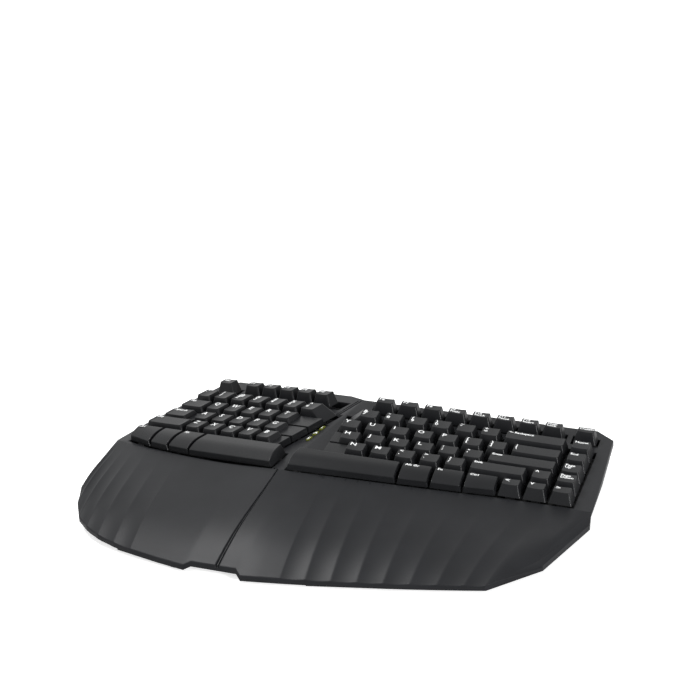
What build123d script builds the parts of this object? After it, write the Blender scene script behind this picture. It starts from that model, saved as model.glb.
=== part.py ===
from build123d import *
import math
import os

os.makedirs("parts", exist_ok=True)

# Driving sizes, in millimetres and degrees. Plan positions are shares of the key pitch.
PITCH = 19.05
TENT_ANGLE = 6.76
SPLIT_ANGLE = 12.58
RIDGE_HEIGHT = 43.4
PAD_HEIGHT = 2.5
RIM_HEIGHT = 4.0
CORNER_LIFT = 3.0
FLUTE_DEPTH = 0.5
PALM_CROWN = 3.0
CROWN_SHARE = 0.62

# Walls and fits
SKIN = 2.2
LIP = 2.2
CASE_WALL = 2.0
CASE_FLOOR = 2.0
CASE_GAP = 0.3
UNDERCUT_ANGLE = 25.0
OVERRUN = 5.0
STRAIGHT_SHARE = 1e-4
UNDERCUT_FRONT_SHARE = -3.0
TIP_SHARES = (2.0, -10.2)
WELL_GAP = 0.9
COLLAR_WALL = 1.4

# Stack below the cover's plane in each half, measured square to it
PLATE_DEPTH = 5.6
PLATE_THICKNESS = 1.4
TRAVEL = 3.4
POST_DROP = 0.2
PRESSED_GAP = 0.2
FILM = 0.4
MEMBRANE = 0.4
BACK_PLATE = 0.8
STACK_RIB = 1.6

# Keys
KEY_GAP = 0.9
CAP_HEIGHT = 9.2
CAP_BASE = 0.3
TOP_INSET = 3.2
SHALLOW_REAR_INSET = 1.0
CAP_WALL = 1.2
CAP_ROOF = 1.5
DISH = 0.45
LEDGE_HEIGHT = 5.4
ROLL_FACE = 5.0
ROLL_DEPTH = 14.0
ROLL_MIDDLE_SHARES = (0.42, 0.68)
ROLL_HOLLOW_SHARE = 0.7
GUIDED_SHARE = 2.2
DISH_SIDE_SHARE = 0.5
POST = 4.0
POST_CLEARANCE = 0.15
CHIMNEY_WALL = 1.0
CHIMNEY_HEIGHT = 5.0
DOME_RADIUS = 5.2
DOME_TOP_RADIUS = 2.6
DOME_SIDES = 4

# Strip between the halves
GROOVE_WIDTH = 0.8
GROOVE_DEPTH = 0.7
SEAM_WIDTH = 1.2
SEAM_DEPTH = 1.2
LENS_WIDTH = 2.6
LENS_LENGTH = 6.5
LENS_RISE = 0.3
LENS_FLANGE = 0.8
LENS_GAP = 0.05
LENS_SLOT_DEPTH = 0.6

# Feet, pads, screws, board and cord inlet
FOOT_WIDTH = 34.0
FOOT_LENGTH = 24.0
FOOT_THICKNESS = 5.0
FOOT_GAP = 0.5
PIN_RADIUS = 1.6
PIN_LENGTH = 1.6
PIN_CLEARANCE = 0.06
POCKET_WALL = 2.4
PAD_LENGTH = 58.0
PAD_WIDTH = 8.0
REAR_PAD_RADIUS = 7.0
SCREW_RADIUS = 1.25
SCREW_HEAD_RADIUS = 2.6
SCREW_HEAD = 1.2
SCREW_LENGTH = 9.0
SCREW_GAP = 0.05
BOSS_RADIUS = 3.4
TURNED_SIDES = 12
POST_SIDES = 8
FLAT_SHARE = 0.96
BOARD_LENGTH = 62.0
BOARD_WIDTH = 26.0
BOARD_THICKNESS = 1.6
BOARD_LIFT = 6.0
BOARD_POST = 5.0
CHIP_SIZE = 9.0
CHIP_HEIGHT = 1.8
SOCKET_LENGTH = 24.0
SOCKET_WIDTH = 5.0
SOCKET_HEIGHT = 4.0
RIB_THICKNESS = 1.6
INLET_HEIGHT = 15.5
INLET_WIDTH = 8.4
INLET_BORE = 2.1
INLET_FLANGE_WIDTH = 11.2
INLET_FLANGE = 2.0
INLET_BLOCK = 15.0
INLET_REACH = 18.0

# Plan of the object, from the mirror plane (x) and the ridge's zero line (y)
RIGHT_REAR_SHARES = [(4.672, 3.412), (8.609, 4.409), (9.354, 4.625), (10.226, 4.157), (11.202, 0.63)]
LEFT_REAR_SHARES = [
    (-8.924, -0.42), (-8.399, 1.627), (-7.848, 3.638), (-7.118, 4.126), (-1.748, 2.856), (-0.824, 2.651),
]
NOTCH_REAR_SHARE = (0.016, 2.236)
RIGHT_SHOULDER_SHARE = (11.837, -1.969)
LEFT_SHOULDER_SHARE = (-9.218, -2.541)
CREASE_SHARES = [(-7.19, -3.386), (-2.52, -4.777), (0.0, -5.092)]
# Left rim of the palm rest: crease x, rim x, rim y, then the rim's height in corner lifts
LEFT_RIM_SHARES = [
    (-9.1, -8.4, -6.588, 3.5), (-8.95, -7.95, -7.56, 2.5), (-8.5, -7.36, -8.383, 1.5),
    (-7.9, -6.667, -8.9, 1.1), (-7.15, -5.874, -9.328, 0.8), (-6.2, -4.934, -9.648, 0.5),
    (-5.2, -3.99, -9.895, 0.3), (-3.6, -2.688, -10.1, 0.0), (-1.9, -1.386, -10.315, 0.0),
    (-1.5, -1.16, -10.1, 0.55), (0.0, 0.0, -10.084, 0.55), (0.75, 0.803, -10.068, 0.55),
]
LEFT_FLUTED = 6
FRONT_START_SHARE = (1.16, -10.383)
FRONT_END_SHARE = (10.215, -8.0)
FRONT_BOW_SHARE = 0.178
FRONT_CREASE_SHARES = (0.95, 10.5)
FRONT_SWEEP_SHARE = 1.35
# Run of the palm rest from the crease to the front at the mirror plane, where its crown is full
RIDGE_FRONT_SHARE = 5.0
FRONT_STATION_SHARES = [0.0, 0.08, 0.168, 0.275, 0.382, 0.489, 0.596, 0.703, 0.81, 0.917, 1.0]
RIGHT_FLUTED = 2
# Facet at the front right corner: crease x, x, y, height in corner lifts
FACET_TOP_SHARES = [(10.8, 10.441, -7.66, 0.43), (11.3, 11.286, -5.895, 1.0)]
FACET_EDGE_SHARES = [(11.585, -5.953, 0.5), (11.942, -2.367, 1.2)]

# Where each half's key grid starts: along the tented deck, then forwards from the zero line
GRID_SHARES = {"right": (1.643, 0.0), "left": (6.908, 1.152)}
SIDES = {"right": 1, "left": -1}

# Rows of keys: front and rear edge, and how much higher than the Q row their tops stand
ROW_SHARES = {
    "function": (1.38, 2.03), "number": (-0.17, 0.83), "upper": (-1.17, -0.17),
    "home": (-2.17, -1.17), "lower": (-3.17, -2.17), "arrow": (-4.04, -3.2),
}
ROW_LIFT_SHARES = {
    "function": 0.058, "number": 0.097, "upper": 0.0, "home": -0.024, "lower": 0.09, "arrow": 0.03,
}

# Keys: node, half, row, left edge, right edge, and the far edge of the foot where that reaches further:
# as a slanted side in the number row, as a low ledge in the others
KEYS = [
    ("key_escape", "left", "function", -0.97, 0.03, None),
    ("keys_function_left", "left", "function", 0.59, 1.59, None),
    ("keys_function_left", "left", "function", 1.59, 2.59, None),
    ("keys_function_left", "left", "function", 2.59, 3.59, None),
    ("keys_function_left", "left", "function", 3.59, 4.59, None),
    ("keys_function_left", "left", "function", 4.59, 5.59, None),
    ("keys_digit_left", "left", "number", -0.83, 0.17, None),
    ("keys_digit_left", "left", "number", 0.17, 1.17, None),
    ("keys_digit_left", "left", "number", 1.17, 2.17, None),
    ("keys_digit_left", "left", "number", 2.17, 3.17, None),
    ("keys_digit_left", "left", "number", 3.17, 4.17, None),
    ("keys_digit_left", "left", "number", 4.17, 5.17, None),
    ("keys_digit_left", "left", "number", 5.17, 6.17, 6.55),
    ("key_tab", "left", "upper", -0.83, 0.67, None),
    ("key_q", "left", "upper", 0.67, 1.67, None),
    ("key_w", "left", "upper", 1.67, 2.67, None),
    ("key_e", "left", "upper", 2.67, 3.67, None),
    ("key_r", "left", "upper", 3.67, 4.67, None),
    ("key_t", "left", "upper", 4.67, 5.67, 6.72),
    ("key_caps_lock", "left", "home", -0.83, 0.65, 0.92),
    ("key_a", "left", "home", 0.92, 1.92, None),
    ("key_s", "left", "home", 1.92, 2.92, None),
    ("key_d", "left", "home", 2.92, 3.92, None),
    ("key_f", "left", "home", 3.92, 4.92, None),
    ("key_g", "left", "home", 4.92, 5.92, 6.72),
    ("key_shift_left", "left", "lower", -0.83, 1.42, None),
    ("key_z", "left", "lower", 1.42, 2.42, None),
    ("key_x", "left", "lower", 2.42, 3.42, None),
    ("key_c", "left", "lower", 3.42, 4.42, None),
    ("key_v", "left", "lower", 4.42, 5.42, None),
    ("key_b", "left", "lower", 5.42, 6.42, 6.72),
    ("keys_function_right", "right", "function", -0.53, 0.47, None),
    ("keys_function_right", "right", "function", 0.47, 1.47, None),
    ("keys_function_right", "right", "function", 1.47, 2.47, None),
    ("keys_function_right", "right", "function", 2.47, 3.47, None),
    ("keys_function_right", "right", "function", 3.47, 4.47, None),
    ("keys_function_right", "right", "function", 4.47, 5.47, None),
    ("keys_function_right", "right", "function", 5.47, 6.47, None),
    ("keys_function_right", "right", "function", 6.47, 7.47, None),
    ("keys_navigation", "right", "function", 7.79, 8.79, None),
    ("keys_digit_right", "right", "number", -0.83, 0.17, -1.22),
    ("keys_digit_right", "right", "number", 0.17, 1.17, None),
    ("keys_digit_right", "right", "number", 1.17, 2.17, None),
    ("keys_digit_right", "right", "number", 2.17, 3.17, None),
    ("keys_digit_right", "right", "number", 3.17, 4.17, None),
    ("keys_digit_right", "right", "number", 4.17, 5.17, None),
    ("key_backspace", "right", "number", 5.17, 7.83, None),
    ("keys_navigation", "right", "number", 7.85, 8.85, None),
    ("key_y", "right", "upper", -1.33, -0.33, None),
    ("key_u", "right", "upper", -0.33, 0.67, None),
    ("key_i", "right", "upper", 0.67, 1.67, None),
    ("key_o", "right", "upper", 1.67, 2.67, None),
    ("key_p", "right", "upper", 2.67, 3.67, None),
    ("keys_punctuation", "right", "upper", 3.67, 4.67, None),
    ("keys_punctuation", "right", "upper", 4.67, 5.67, None),
    ("keys_punctuation", "right", "upper", 5.67, 7.83, None),
    ("keys_navigation", "right", "upper", 7.85, 8.85, None),
    ("key_h", "right", "home", -1.08, -0.08, -1.34),
    ("key_j", "right", "home", -0.08, 0.92, None),
    ("key_k", "right", "home", 0.92, 1.92, None),
    ("key_l", "right", "home", 1.92, 2.92, None),
    ("keys_punctuation", "right", "home", 2.92, 3.92, None),
    ("keys_punctuation", "right", "home", 3.92, 4.92, None),
    ("key_enter", "right", "home", 4.92, 7.83, None),
    ("keys_navigation", "right", "home", 7.85, 8.85, None),
    ("key_n", "right", "lower", -0.58, 0.42, -1.34),
    ("key_m", "right", "lower", 0.42, 1.42, None),
    ("keys_punctuation", "right", "lower", 1.42, 2.42, None),
    ("keys_punctuation", "right", "lower", 2.42, 3.42, None),
    ("keys_punctuation", "right", "lower", 3.42, 4.42, None),
    ("key_shift_right", "right", "lower", 4.42, 6.84, None),
    ("keys_arrow", "right", "lower", 6.85, 7.84, None),
    ("keys_navigation", "right", "lower", 7.86, 8.86, None),
    ("keys_arrow", "right", "arrow", 5.87, 6.85, None),
    ("keys_arrow", "right", "arrow", 6.86, 7.85, None),
    ("keys_arrow", "right", "arrow", 7.86, 8.86, None),
]

# Deep caps of the front row: node, half, then rear left, rear right, front right, front left corners
ROLL_KEY_SHARES = [
    ("keys_modifier_left", "left", (-0.86, -3.19), (0.66, -3.19), (0.66, -4.33), (-0.86, -4.02)),
    ("keys_modifier_left", "left", (0.67, -3.19), (1.82, -3.19), (1.82, -4.45), (0.67, -4.33)),
    ("keys_modifier_left", "left", (1.83, -3.19), (3.1, -3.19), (3.1, -4.53), (1.83, -4.45)),
    ("key_space_left", "left", (3.11, -3.19), (7.36, -3.19), (7.73, -4.55), (3.11, -4.56)),
    ("key_space_right", "right", (-2.25, -3.25), (1.95, -3.19), (1.95, -4.35), (-2.42, -4.57)),
    ("keys_modifier_right", "right", (1.96, -3.19), (3.24, -3.19), (3.24, -4.28), (1.96, -4.35)),
    ("keys_modifier_right", "right", (3.25, -3.19), (4.53, -3.19), (4.53, -4.22), (3.25, -4.28)),
    ("keys_modifier_right", "right", (4.54, -3.19), (5.86, -3.19), (5.86, -4.1), (4.54, -4.22)),
]

# Openings of the wells in the cover, corner by corner round each
WELL_SHARES = {
    "left": [
        [(-0.97, 1.38), (0.03, 1.38), (0.03, 2.03), (-0.97, 2.03)],
        [(0.59, 1.38), (6.1, 1.38), (6.1, 2.03), (0.59, 2.03)],
        [
            (-0.83, 0.83), (-0.86, -4.02), (0.66, -4.33), (3.11, -4.56), (5.4, -4.67), (7.73, -4.55),
            (7.36, -3.19), (6.72, -3.15), (6.72, 0.83),
        ],
    ],
    "right": [
        [(-0.53, 1.38), (7.47, 1.38), (7.47, 2.03), (-0.53, 2.03)],
        [(7.79, 1.38), (8.79, 1.38), (8.79, 2.03), (7.79, 2.03)],
        [
            (-1.34, 0.83), (-1.34, -3.12), (-2.25, -3.25), (-2.42, -4.57), (1.95, -4.35), (5.86, -4.1),
            (8.86, -4.04), (8.86, 0.83),
        ],
    ],
}
PLATE_SHARES = {
    "left": [
        (-0.9, 2.085), (-1.07, 1.95), (-1.07, 1.25), (-0.95, 1.2), (-0.95, -4.12), (0.66, -4.42),
        (3.11, -4.66), (5.4, -4.76), (7.8, -4.65), (7.42, -3.1), (6.75, -3.1), (6.75, 0.6), (6.55, 1.25),
        (6.2, 1.25), (6.2, 2.085),
    ],
    "right": [
        (-0.62, 2.065), (-0.62, 1.25), (-1.15, 1.25), (-1.37, 0.6), (-1.37, -3.05), (-2.3, -3.2),
        (-2.48, -4.67), (1.95, -4.45), (5.86, -4.2), (8.93, -4.14), (8.93, 1.95), (8.75, 2.065),
    ],
}

# Small places, in shares of the key pitch from the mirror plane and the zero line
LENS_SHARES = [(-0.325, -0.84), (-0.325, -1.39), (-0.325, -1.94)]
LENS_SLOT_SHARES = (0.24, 1.75)
GROOVE_LINE_SHARES = [((-0.22, 2.1), (-0.98, -2.4)), ((-0.08, 2.1), (-0.84, -2.4))]
SEAM_LINE_SHARES = ((-0.2, -4.9), (0.0, -11.0))
FOOT_SHARES = [(-5.3, 0.6), (6.6, 1.2)]
FOOT_NODES = ["left_foot", "right_foot"]
# Front pads: place and turn in degrees
FRONT_PAD_SHARES = [(-3.4, -9.55), (5.0, -9.1)]
FRONT_PAD_TURNS = [-11.4, 15.3]
REAR_PAD_SHARES = [(-7.3, 1.2), (9.2, 2.2), (-0.6, 0.3)]
SCREW_SHARES = [(-6.3, -6.3), (-1.2, -7.2), (2.2, -7.2), (8.4, -5.2)]
RIB_SHARES = {"left": [-3.6, -1.7], "right": [4.2, 8.4]}
RIB_RUN_SHARES = (-3.0, 1.2)
BOARD_SHARE = (2.2, 0.2)
INLET_SHARE = (1.5, 2.36)

PLATE_BASE = PLATE_DEPTH + PLATE_THICKNESS
FILM_TOP = PLATE_BASE + POST_DROP + TRAVEL + PRESSED_GAP
STACK_BASE = FILM_TOP + FILM + MEMBRANE + BACK_PLATE
RIM_TOP = PAD_HEIGHT + RIM_HEIGHT
DEEP = -RIDGE_HEIGHT
HIGH = 2 * RIDGE_HEIGHT


def scaled(shares):
    """Plan point of a pair of shares."""
    return (shares[0] * PITCH, shares[1] * PITCH)


def deck_height(x):
    """Height of the cover's tented plane above the table."""
    return RIDGE_HEIGHT - math.tan(math.radians(TENT_ANGLE)) * abs(x)


def on_deck(point):
    """Point of the tented deck above a plan point."""
    return (point[0], point[1], deck_height(point[0]))


def crease_point(x):
    """Point where the deck breaks into the palm rest."""
    shares = [LEFT_SHOULDER_SHARE] + CREASE_SHARES + [RIGHT_SHOULDER_SHARE]
    line = [scaled(s) for s in shares]
    for start, end in zip(line, line[1:]):
        if x <= end[0] or end is line[-1]:
            share = (x - start[0]) / (end[0] - start[0])
            return on_deck((x, start[1] + share * (end[1] - start[1])))


def palm_stations(valleys):
    """Crease and rim points of the palm rest from left to right, and which of them are valleys."""
    rows = []
    for crease, x, y, lift in LEFT_RIM_SHARES:
        rows.append((crease * PITCH, (x * PITCH, y * PITCH, RIM_TOP + lift * CORNER_LIFT)))
    first, last = scaled(FRONT_START_SHARE), scaled(FRONT_END_SHARE)
    for share in FRONT_STATION_SHARES:
        swept = share ** FRONT_SWEEP_SHARE
        crease = FRONT_CREASE_SHARES[0] + swept * (FRONT_CREASE_SHARES[1] - FRONT_CREASE_SHARES[0])
        bow = 4 * FRONT_BOW_SHARE * PITCH * share * (1 - share)
        x = first[0] + share * (last[0] - first[0])
        y = first[1] + share * (last[1] - first[1]) - bow
        rows.append((crease * PITCH, (x, y, RIM_TOP)))
    fluted = [k < LEFT_FLUTED for k in range(len(LEFT_RIM_SHARES))]
    fluted += [RIGHT_FLUTED <= k < len(FRONT_STATION_SHARES) - 1 for k in range(len(FRONT_STATION_SHARES))]
    stations = []
    for k, (crease, rim) in enumerate(rows):
        stations.append((crease_point(crease), rim, False))
        if valleys and fluted[k]:
            after_crease, after = rows[k + 1]
            middle = tuple((a + b) / 2 for a, b in zip(rim, after))
            stations.append((crease_point((crease + after_crease) / 2), middle, True))
    for crease, x, y, lift in FACET_TOP_SHARES:
        rim = (x * PITCH, y * PITCH, RIM_TOP + lift * CORNER_LIFT)
        stations.append((crease_point(crease * PITCH), rim, False))
    return stations


def lowered(points, drop):
    """The same points, lower by one distance."""
    return [(x, y, z - drop) for x, y, z in points]


def shape_top(flute, fine=False, crown=0):
    """Faces of the upper side as point lists, and the rim from the left shoulder round to it again."""
    stations = palm_stations(fine)
    left = on_deck(scaled(LEFT_SHOULDER_SHARE))
    right = on_deck(scaled(RIGHT_SHOULDER_SHARE))
    creases = [left] + [s[0] for s in stations] + [right]
    rims = [left]
    middles = [left]
    for crease, rim, valley in stations:
        low = (rim[0], rim[1], rim[2] - (flute if valley else 0))
        x, y, z = (a + CROWN_SHARE * (b - a) for a, b in zip(crease, low))
        middles.append((x, y, z + crown * (crease[1] - low[1]) / (RIDGE_FRONT_SHARE * PITCH)))
        rims.append(low)
    rims.append(right)
    middles.append(right)
    faces = []
    bands = ((creases, middles), (middles, rims)) if crown else ((creases, rims),)
    for upper, lower in bands:
        for k in range(len(upper) - 1):
            corners = [upper[k], lower[k], lower[k + 1], upper[k + 1]]
            first = [corners[0], corners[1], corners[2]]
            second = [corners[0], corners[2], corners[3]]
            faces += [f for f in (first, second) if len(set(f)) == len(f)]
    zero = [k for k, p in enumerate(creases) if p[0] == 0][0]
    notch = (0, NOTCH_REAR_SHARE[1] * PITCH, RIDGE_HEIGHT)
    right_rear = [on_deck(scaled(s)) for s in RIGHT_REAR_SHARES]
    left_rear = [on_deck(scaled(s)) for s in LEFT_REAR_SHARES]
    faces.append([notch] + creases[zero:0:-1] + [left] + left_rear)
    faces.append(creases[zero:] + right_rear[::-1] + [notch])
    edge = [(x * PITCH, y * PITCH, RIM_TOP + lift * CORNER_LIFT) for x, y, lift in FACET_EDGE_SHARES]
    corner = rims[len(rims) - 1 - len(FACET_TOP_SHARES) - 1]
    inner, outer = rims[-3:], edge + [right]
    faces += [[corner, outer[0], inner[0]], [inner[0], outer[0], inner[1]]]
    faces += [[inner[1], outer[0], outer[1]], [inner[1], outer[1], right]]
    rim_loop = rims[:-3] + edge + [right] + right_rear[::-1] + [notch] + left_rear[::-1]
    return faces, rim_loop


def closed_solid(faces):
    """Solid with these flat faces."""
    return Solid(Shell([Face(Wire.make_polygon([Vector(*p) for p in f], close=True)) for f in faces]))


def slab(top_drop, bottom_drop=None):
    """Body under the upper side: fluted and as thick as the two drops leave, or plain and deep."""
    fine = bottom_drop is not None
    top, rim = shape_top(FLUTE_DEPTH, True, PALM_CROWN) if fine else shape_top(0)
    faces = [lowered(face, top_drop) for face in top]
    upper = lowered(rim, top_drop)
    if bottom_drop is None:
        lower = [(x, y, DEEP) for x, y, z in rim]
        faces.append(lower[::-1])
    else:
        base, base_rim = shape_top(0, True)
        faces += [lowered(face, bottom_drop)[::-1] for face in base]
        lower = lowered(base_rim, bottom_drop)
    for k in range(len(rim)):
        after = (k + 1) % len(rim)
        faces.append([upper[k], lower[k], lower[after], upper[after]])
    return closed_solid(faces)


def corners_only(loop):
    """Loop without the points that lie on a straight stretch of its plan."""
    kept = []
    for k, point in enumerate(loop):
        before, after = loop[k - 1], loop[(k + 1) % len(loop)]
        back = (point[0] - before[0], point[1] - before[1])
        run = (after[0] - point[0], after[1] - point[1])
        if abs(back[0] * run[1] - back[1] * run[0]) > STRAIGHT_SHARE * math.hypot(*back) * math.hypot(*run):
            kept.append(point)
    return kept


def anticlockwise(loop):
    """The loop in the order that keeps its inside on the left."""
    area = sum(a[0] * b[1] - b[0] * a[1] for a, b in zip(loop, loop[1:] + loop[:1]))
    return loop if area > 0 else loop[::-1]


def inset_loop(points, distances):
    """Plan loop moved inwards, edge by edge, by each edge's own distance at its two ends."""
    lines = []
    for k, start in enumerate(points):
        end = points[(k + 1) % len(points)]
        length = math.hypot(end[0] - start[0], end[1] - start[1])
        inward = (-(end[1] - start[1]) / length, (end[0] - start[0]) / length)
        near, far = distances[k]
        first = (start[0] + near * inward[0], start[1] + near * inward[1])
        second = (end[0] + far * inward[0], end[1] + far * inward[1])
        lines.append((first, (second[0] - first[0], second[1] - first[1])))
    loop = []
    for k, (point, run) in enumerate(lines):
        before, back = lines[k - 1]
        cross = back[0] * run[1] - back[1] * run[0]
        offset = (point[0] - before[0], point[1] - before[1])
        share = (offset[0] * run[1] - offset[1] * run[0]) / cross
        loop.append((before[0] + share * back[0], before[1] + share * back[1]))
    return loop


def even_inset(points, distance):
    """Plan loop moved inwards by one distance."""
    return inset_loop(points, [(distance, distance)] * len(points))


def prism(points, bottom, top):
    """Upright block on a plan loop."""
    face = Face(Wire.make_polygon([Vector(x, y, bottom) for x, y in points], close=True))
    if face.normal_at().Z < 0:
        face = -face
    return Solid.extrude(face, Vector(0, 0, top - bottom))


def tapered_block(low, high, bottom, top):
    """Ruled block between two plan loops with as many corners."""
    count = len(low)
    foot = [(x, y, bottom) for x, y in low]
    head = [(x, y, top) for x, y in high]
    faces = [foot[::-1], head]
    for k in range(count):
        after = (k + 1) % count
        faces.append([foot[k], foot[after], head[after], head[k]])
    return closed_solid(faces)


def case_loop():
    """Outline of the bottom case with the rim's height above it, without the tips of the front notch."""
    rim = corners_only(shape_top(0)[1])
    shoulder = scaled(RIGHT_SHOULDER_SHARE)[0]
    reach, front = scaled(TIP_SHARES)
    tips = [p for p in rim if p[1] < front and abs(p[0]) < reach or p[0] > shoulder]
    return [p for p in rim if p not in tips]


def case_block(margin, bottom):
    """Block of the bottom case, set in from the rim by a margin and undercut behind the palm rest."""
    loop = case_loop()
    plan = [(x, y) for x, y, z in loop]
    ends = list(zip(loop, loop[1:] + loop[:1]))
    slope = math.tan(math.radians(UNDERCUT_ANGLE))
    steep = [slope if min(start[1], end[1]) > UNDERCUT_FRONT_SHARE * PITCH else 0 for start, end in ends]

    def level(height):
        insets = [[margin + s * (p[2] - RIM_HEIGHT - height) for p in pair] for s, pair in zip(steep, ends)]
        return inset_loop(plan, insets)

    low, high = level(bottom), level(RIDGE_HEIGHT)
    block = prism(even_inset(plan, margin), bottom, HIGH)

    def along(k, height):
        share = (height - bottom) / (RIDGE_HEIGHT - bottom)
        return tuple(a + share * (b - a) for a, b in zip(low[k], high[k])) + (height,)

    base = bottom - CASE_FLOOR
    for k, s in enumerate(steep):
        if s:
            after = (k + 1) % len(plan)
            tips = [along(j, loop[j][2]) for j in (k, after)]
            feet = [along(j, base) for j in (k, after)]
            outer = [(x, y, base) for x, y, z in tips]
            block -= closed_solid([
                [feet[0], feet[1], tips[1], tips[0]], [outer[0], tips[0], tips[1], outer[1]],
                [feet[0], outer[0], outer[1], feet[1]],
                [feet[0], tips[0], outer[0]], [feet[1], outer[1], tips[1]],
            ])
    return block


def save(solids, node):
    """Write one node, moved so that the whole object's footprint is centred."""
    xs = [p[0] for p in shape_top(0)[1]]
    ys = [p[1] for p in shape_top(0)[1]]
    centre = Pos(-(min(xs) + max(xs)) / 2, -(min(ys) + max(ys)) / 2, 0)
    moved = [centre * solid for solid in solids]
    export_step(moved[0] if len(moved) == 1 else Compound(moved), "parts/" + node + ".step")


def grid_frame(half):
    """Plane of a half's key grid on the cover: x along the rows, z out of the cover."""
    side = SIDES[half]
    tent, split = math.radians(TENT_ANGLE), math.radians(SPLIT_ANGLE)
    reach, forward = scaled(GRID_SHARES[half])
    origin = (side * reach * math.cos(tent), forward, RIDGE_HEIGHT - reach * math.sin(tent))
    row = (math.cos(split), side * math.sin(split))
    along = (row[0] * math.cos(tent), row[1], -side * row[0] * math.sin(tent))
    return Plane(origin=origin, x_dir=along, z_dir=(side * math.sin(tent), 0, math.cos(tent)))


FRAMES = {half: grid_frame(half).location for half in SIDES}


def cell_loop(left, right, front, rear):
    """Corners of a key's cell, anticlockwise."""
    return [(left, front), (right, front), (right, rear), (left, rear)]


def centred_box(x, y, size, bottom, top):
    """Square post over a plan point."""
    half = size / 2
    return prism(cell_loop(x - half, x + half, y - half, y + half), bottom, top)


def cap(loop, height, insets):
    """Hollow tapered cap without its dish or post, its top set in at the front, right, rear and left."""
    top = inset_loop(loop, [(d, d) for d in insets])
    outer = tapered_block(even_inset(loop, KEY_GAP / 2), top, CAP_BASE, height)
    foot = even_inset(loop, KEY_GAP / 2 + CAP_WALL)
    head = inset_loop(loop, [(d + CAP_WALL, d + CAP_WALL) for d in insets])
    return outer - tapered_block(foot, head, CAP_BASE, height - CAP_ROOF)


def dish_cutter(left, right, front, rear, height):
    """Shallow three-sided trough that hollows the top of a cap from side to side."""
    middle, reach = (left + right) / 2, (right - left) / 2 - TOP_INSET
    flat = reach * DISH_SIDE_SHARE
    outline = [(middle - reach, height), (middle - flat, height - DISH), (middle + flat, height - DISH)]
    outline += [(middle + reach, height), (middle + reach, 2 * height), (middle - reach, 2 * height)]
    face = Face(Wire.make_polygon([Vector(x, front - OVERRUN, z) for x, z in outline], close=True))
    return Solid.extrude(face, Vector(0, rear - front + 2 * OVERRUN, 0))


def post_places(left, right, front, rear):
    """Places of the posts under a cap: the middle one works the dome, outer ones guide a wide cap."""
    x, y = (left + right) / 2, (front + rear) / 2
    places = [(x, y)]
    if right - left > GUIDED_SHARE * PITCH:
        reach = (right - left) / 2 - PITCH / 2
        places += [(x - reach, y), (x + reach, y)]
    return places


def small_key(row, left, right, reach):
    """Cap of one of the square or wide keys, with its slanted side or ledge, and the posts under it."""
    front, rear = (edge * PITCH for edge in ROW_SHARES[row])
    height = CAP_HEIGHT * (1 + ROW_LIFT_SHARES[row])
    left, right = left * PITCH, right * PITCH
    far = left if reach is None else reach * PITCH
    slanted = row == "number"
    foot_left = min(left, far) if slanted else left
    foot_right = max(right, far) if slanted else right
    rear_inset = SHALLOW_REAR_INSET if row == "function" else TOP_INSET
    insets = [TOP_INSET, TOP_INSET + foot_right - right, rear_inset, TOP_INSET + left - foot_left]
    solid = cap(cell_loop(foot_left, foot_right, front, rear), height, insets)
    solid -= dish_cutter(left, right, front, rear, height)
    if reach is not None and not slanted:
        near = right if far > right else left
        inner = near - TOP_INSET if far > right else near + TOP_INSET
        low = cell_loop(min(far, inner), max(far, inner), front, rear)
        block = tapered_block(
            even_inset(low, KEY_GAP / 2), even_inset(low, KEY_GAP), CAP_BASE, LEDGE_HEIGHT
        )
        solid += block - prism(even_inset(low, KEY_GAP / 2 + CAP_WALL), CAP_BASE, LEDGE_HEIGHT - CAP_ROOF)
    roof = height - DISH - CAP_ROOF / 2
    for x, y in post_places(left, right, front, rear):
        solid += centred_box(x, y, POST, -PLATE_BASE - POST_DROP, roof)
    return solid


def roll_places(corners):
    """Places of the posts under a deep cap of the front row."""
    rear_left, rear_right, front_right, front_left = [scaled(c) for c in corners]
    left = max(front_left[0], rear_left[0])
    right = min(front_right[0], rear_right[0])
    return post_places(left, right, (front_left[1] + front_right[1]) / 2, rear_left[1])


def roll_key(corners):
    """Deep cap of the front row: a steep front face, then a top that rolls up to the rear."""
    rear_left, rear_right, front_right, front_left = [scaled(c) for c in corners]
    loop = [front_left, front_right, rear_right, rear_left]
    height = CAP_HEIGHT * (1 + ROW_LIFT_SHARES["upper"])
    insets = [KEY_GAP / 2, TOP_INSET / 2, TOP_INSET, TOP_INSET / 2]
    head = inset_loop(loop, [(d, d) for d in insets])
    outer = tapered_block(even_inset(loop, KEY_GAP / 2), head, CAP_BASE, height)
    foot = even_inset(loop, KEY_GAP / 2 + CAP_WALL)
    insets = [ROLL_DEPTH * ROLL_HOLLOW_SHARE, TOP_INSET, TOP_INSET + CAP_WALL, TOP_INSET]
    inner = tapered_block(foot, inset_loop(loop, [(d, d) for d in insets]), CAP_BASE, height - CAP_ROOF)
    run = (front_right[0] - front_left[0], front_right[1] - front_left[1])
    length = math.hypot(*run)
    ahead = (run[0] * OVERRUN / length, run[1] * OVERRUN / length)
    start = (front_left[0] - ahead[0], front_left[1] - ahead[1], 0)
    side = Plane(origin=start, x_dir=(-run[1], run[0], 0), z_dir=(run[0], run[1], 0))
    face, depth = ROLL_FACE, ROLL_DEPTH
    middle = (depth * ROLL_MIDDLE_SHARES[0], face + (height - face) * ROLL_MIDDLE_SHARES[1])
    roll = ThreePointArc((0, face), middle, (depth, height))
    outline = roll + Polyline((depth, height), (depth, HIGH), (0, HIGH), (0, face))
    sweep = Vector(run[0] + 2 * ahead[0], run[1] + 2 * ahead[1], 0)
    cutter = Solid.extrude(side.location * make_face(outline).face(), sweep)
    solid = (outer - cutter) - inner
    for x, y in roll_places(corners):
        solid += centred_box(x, y, POST, -PLATE_BASE - POST_DROP, height - CAP_ROOF / 2)
    return solid


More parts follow.
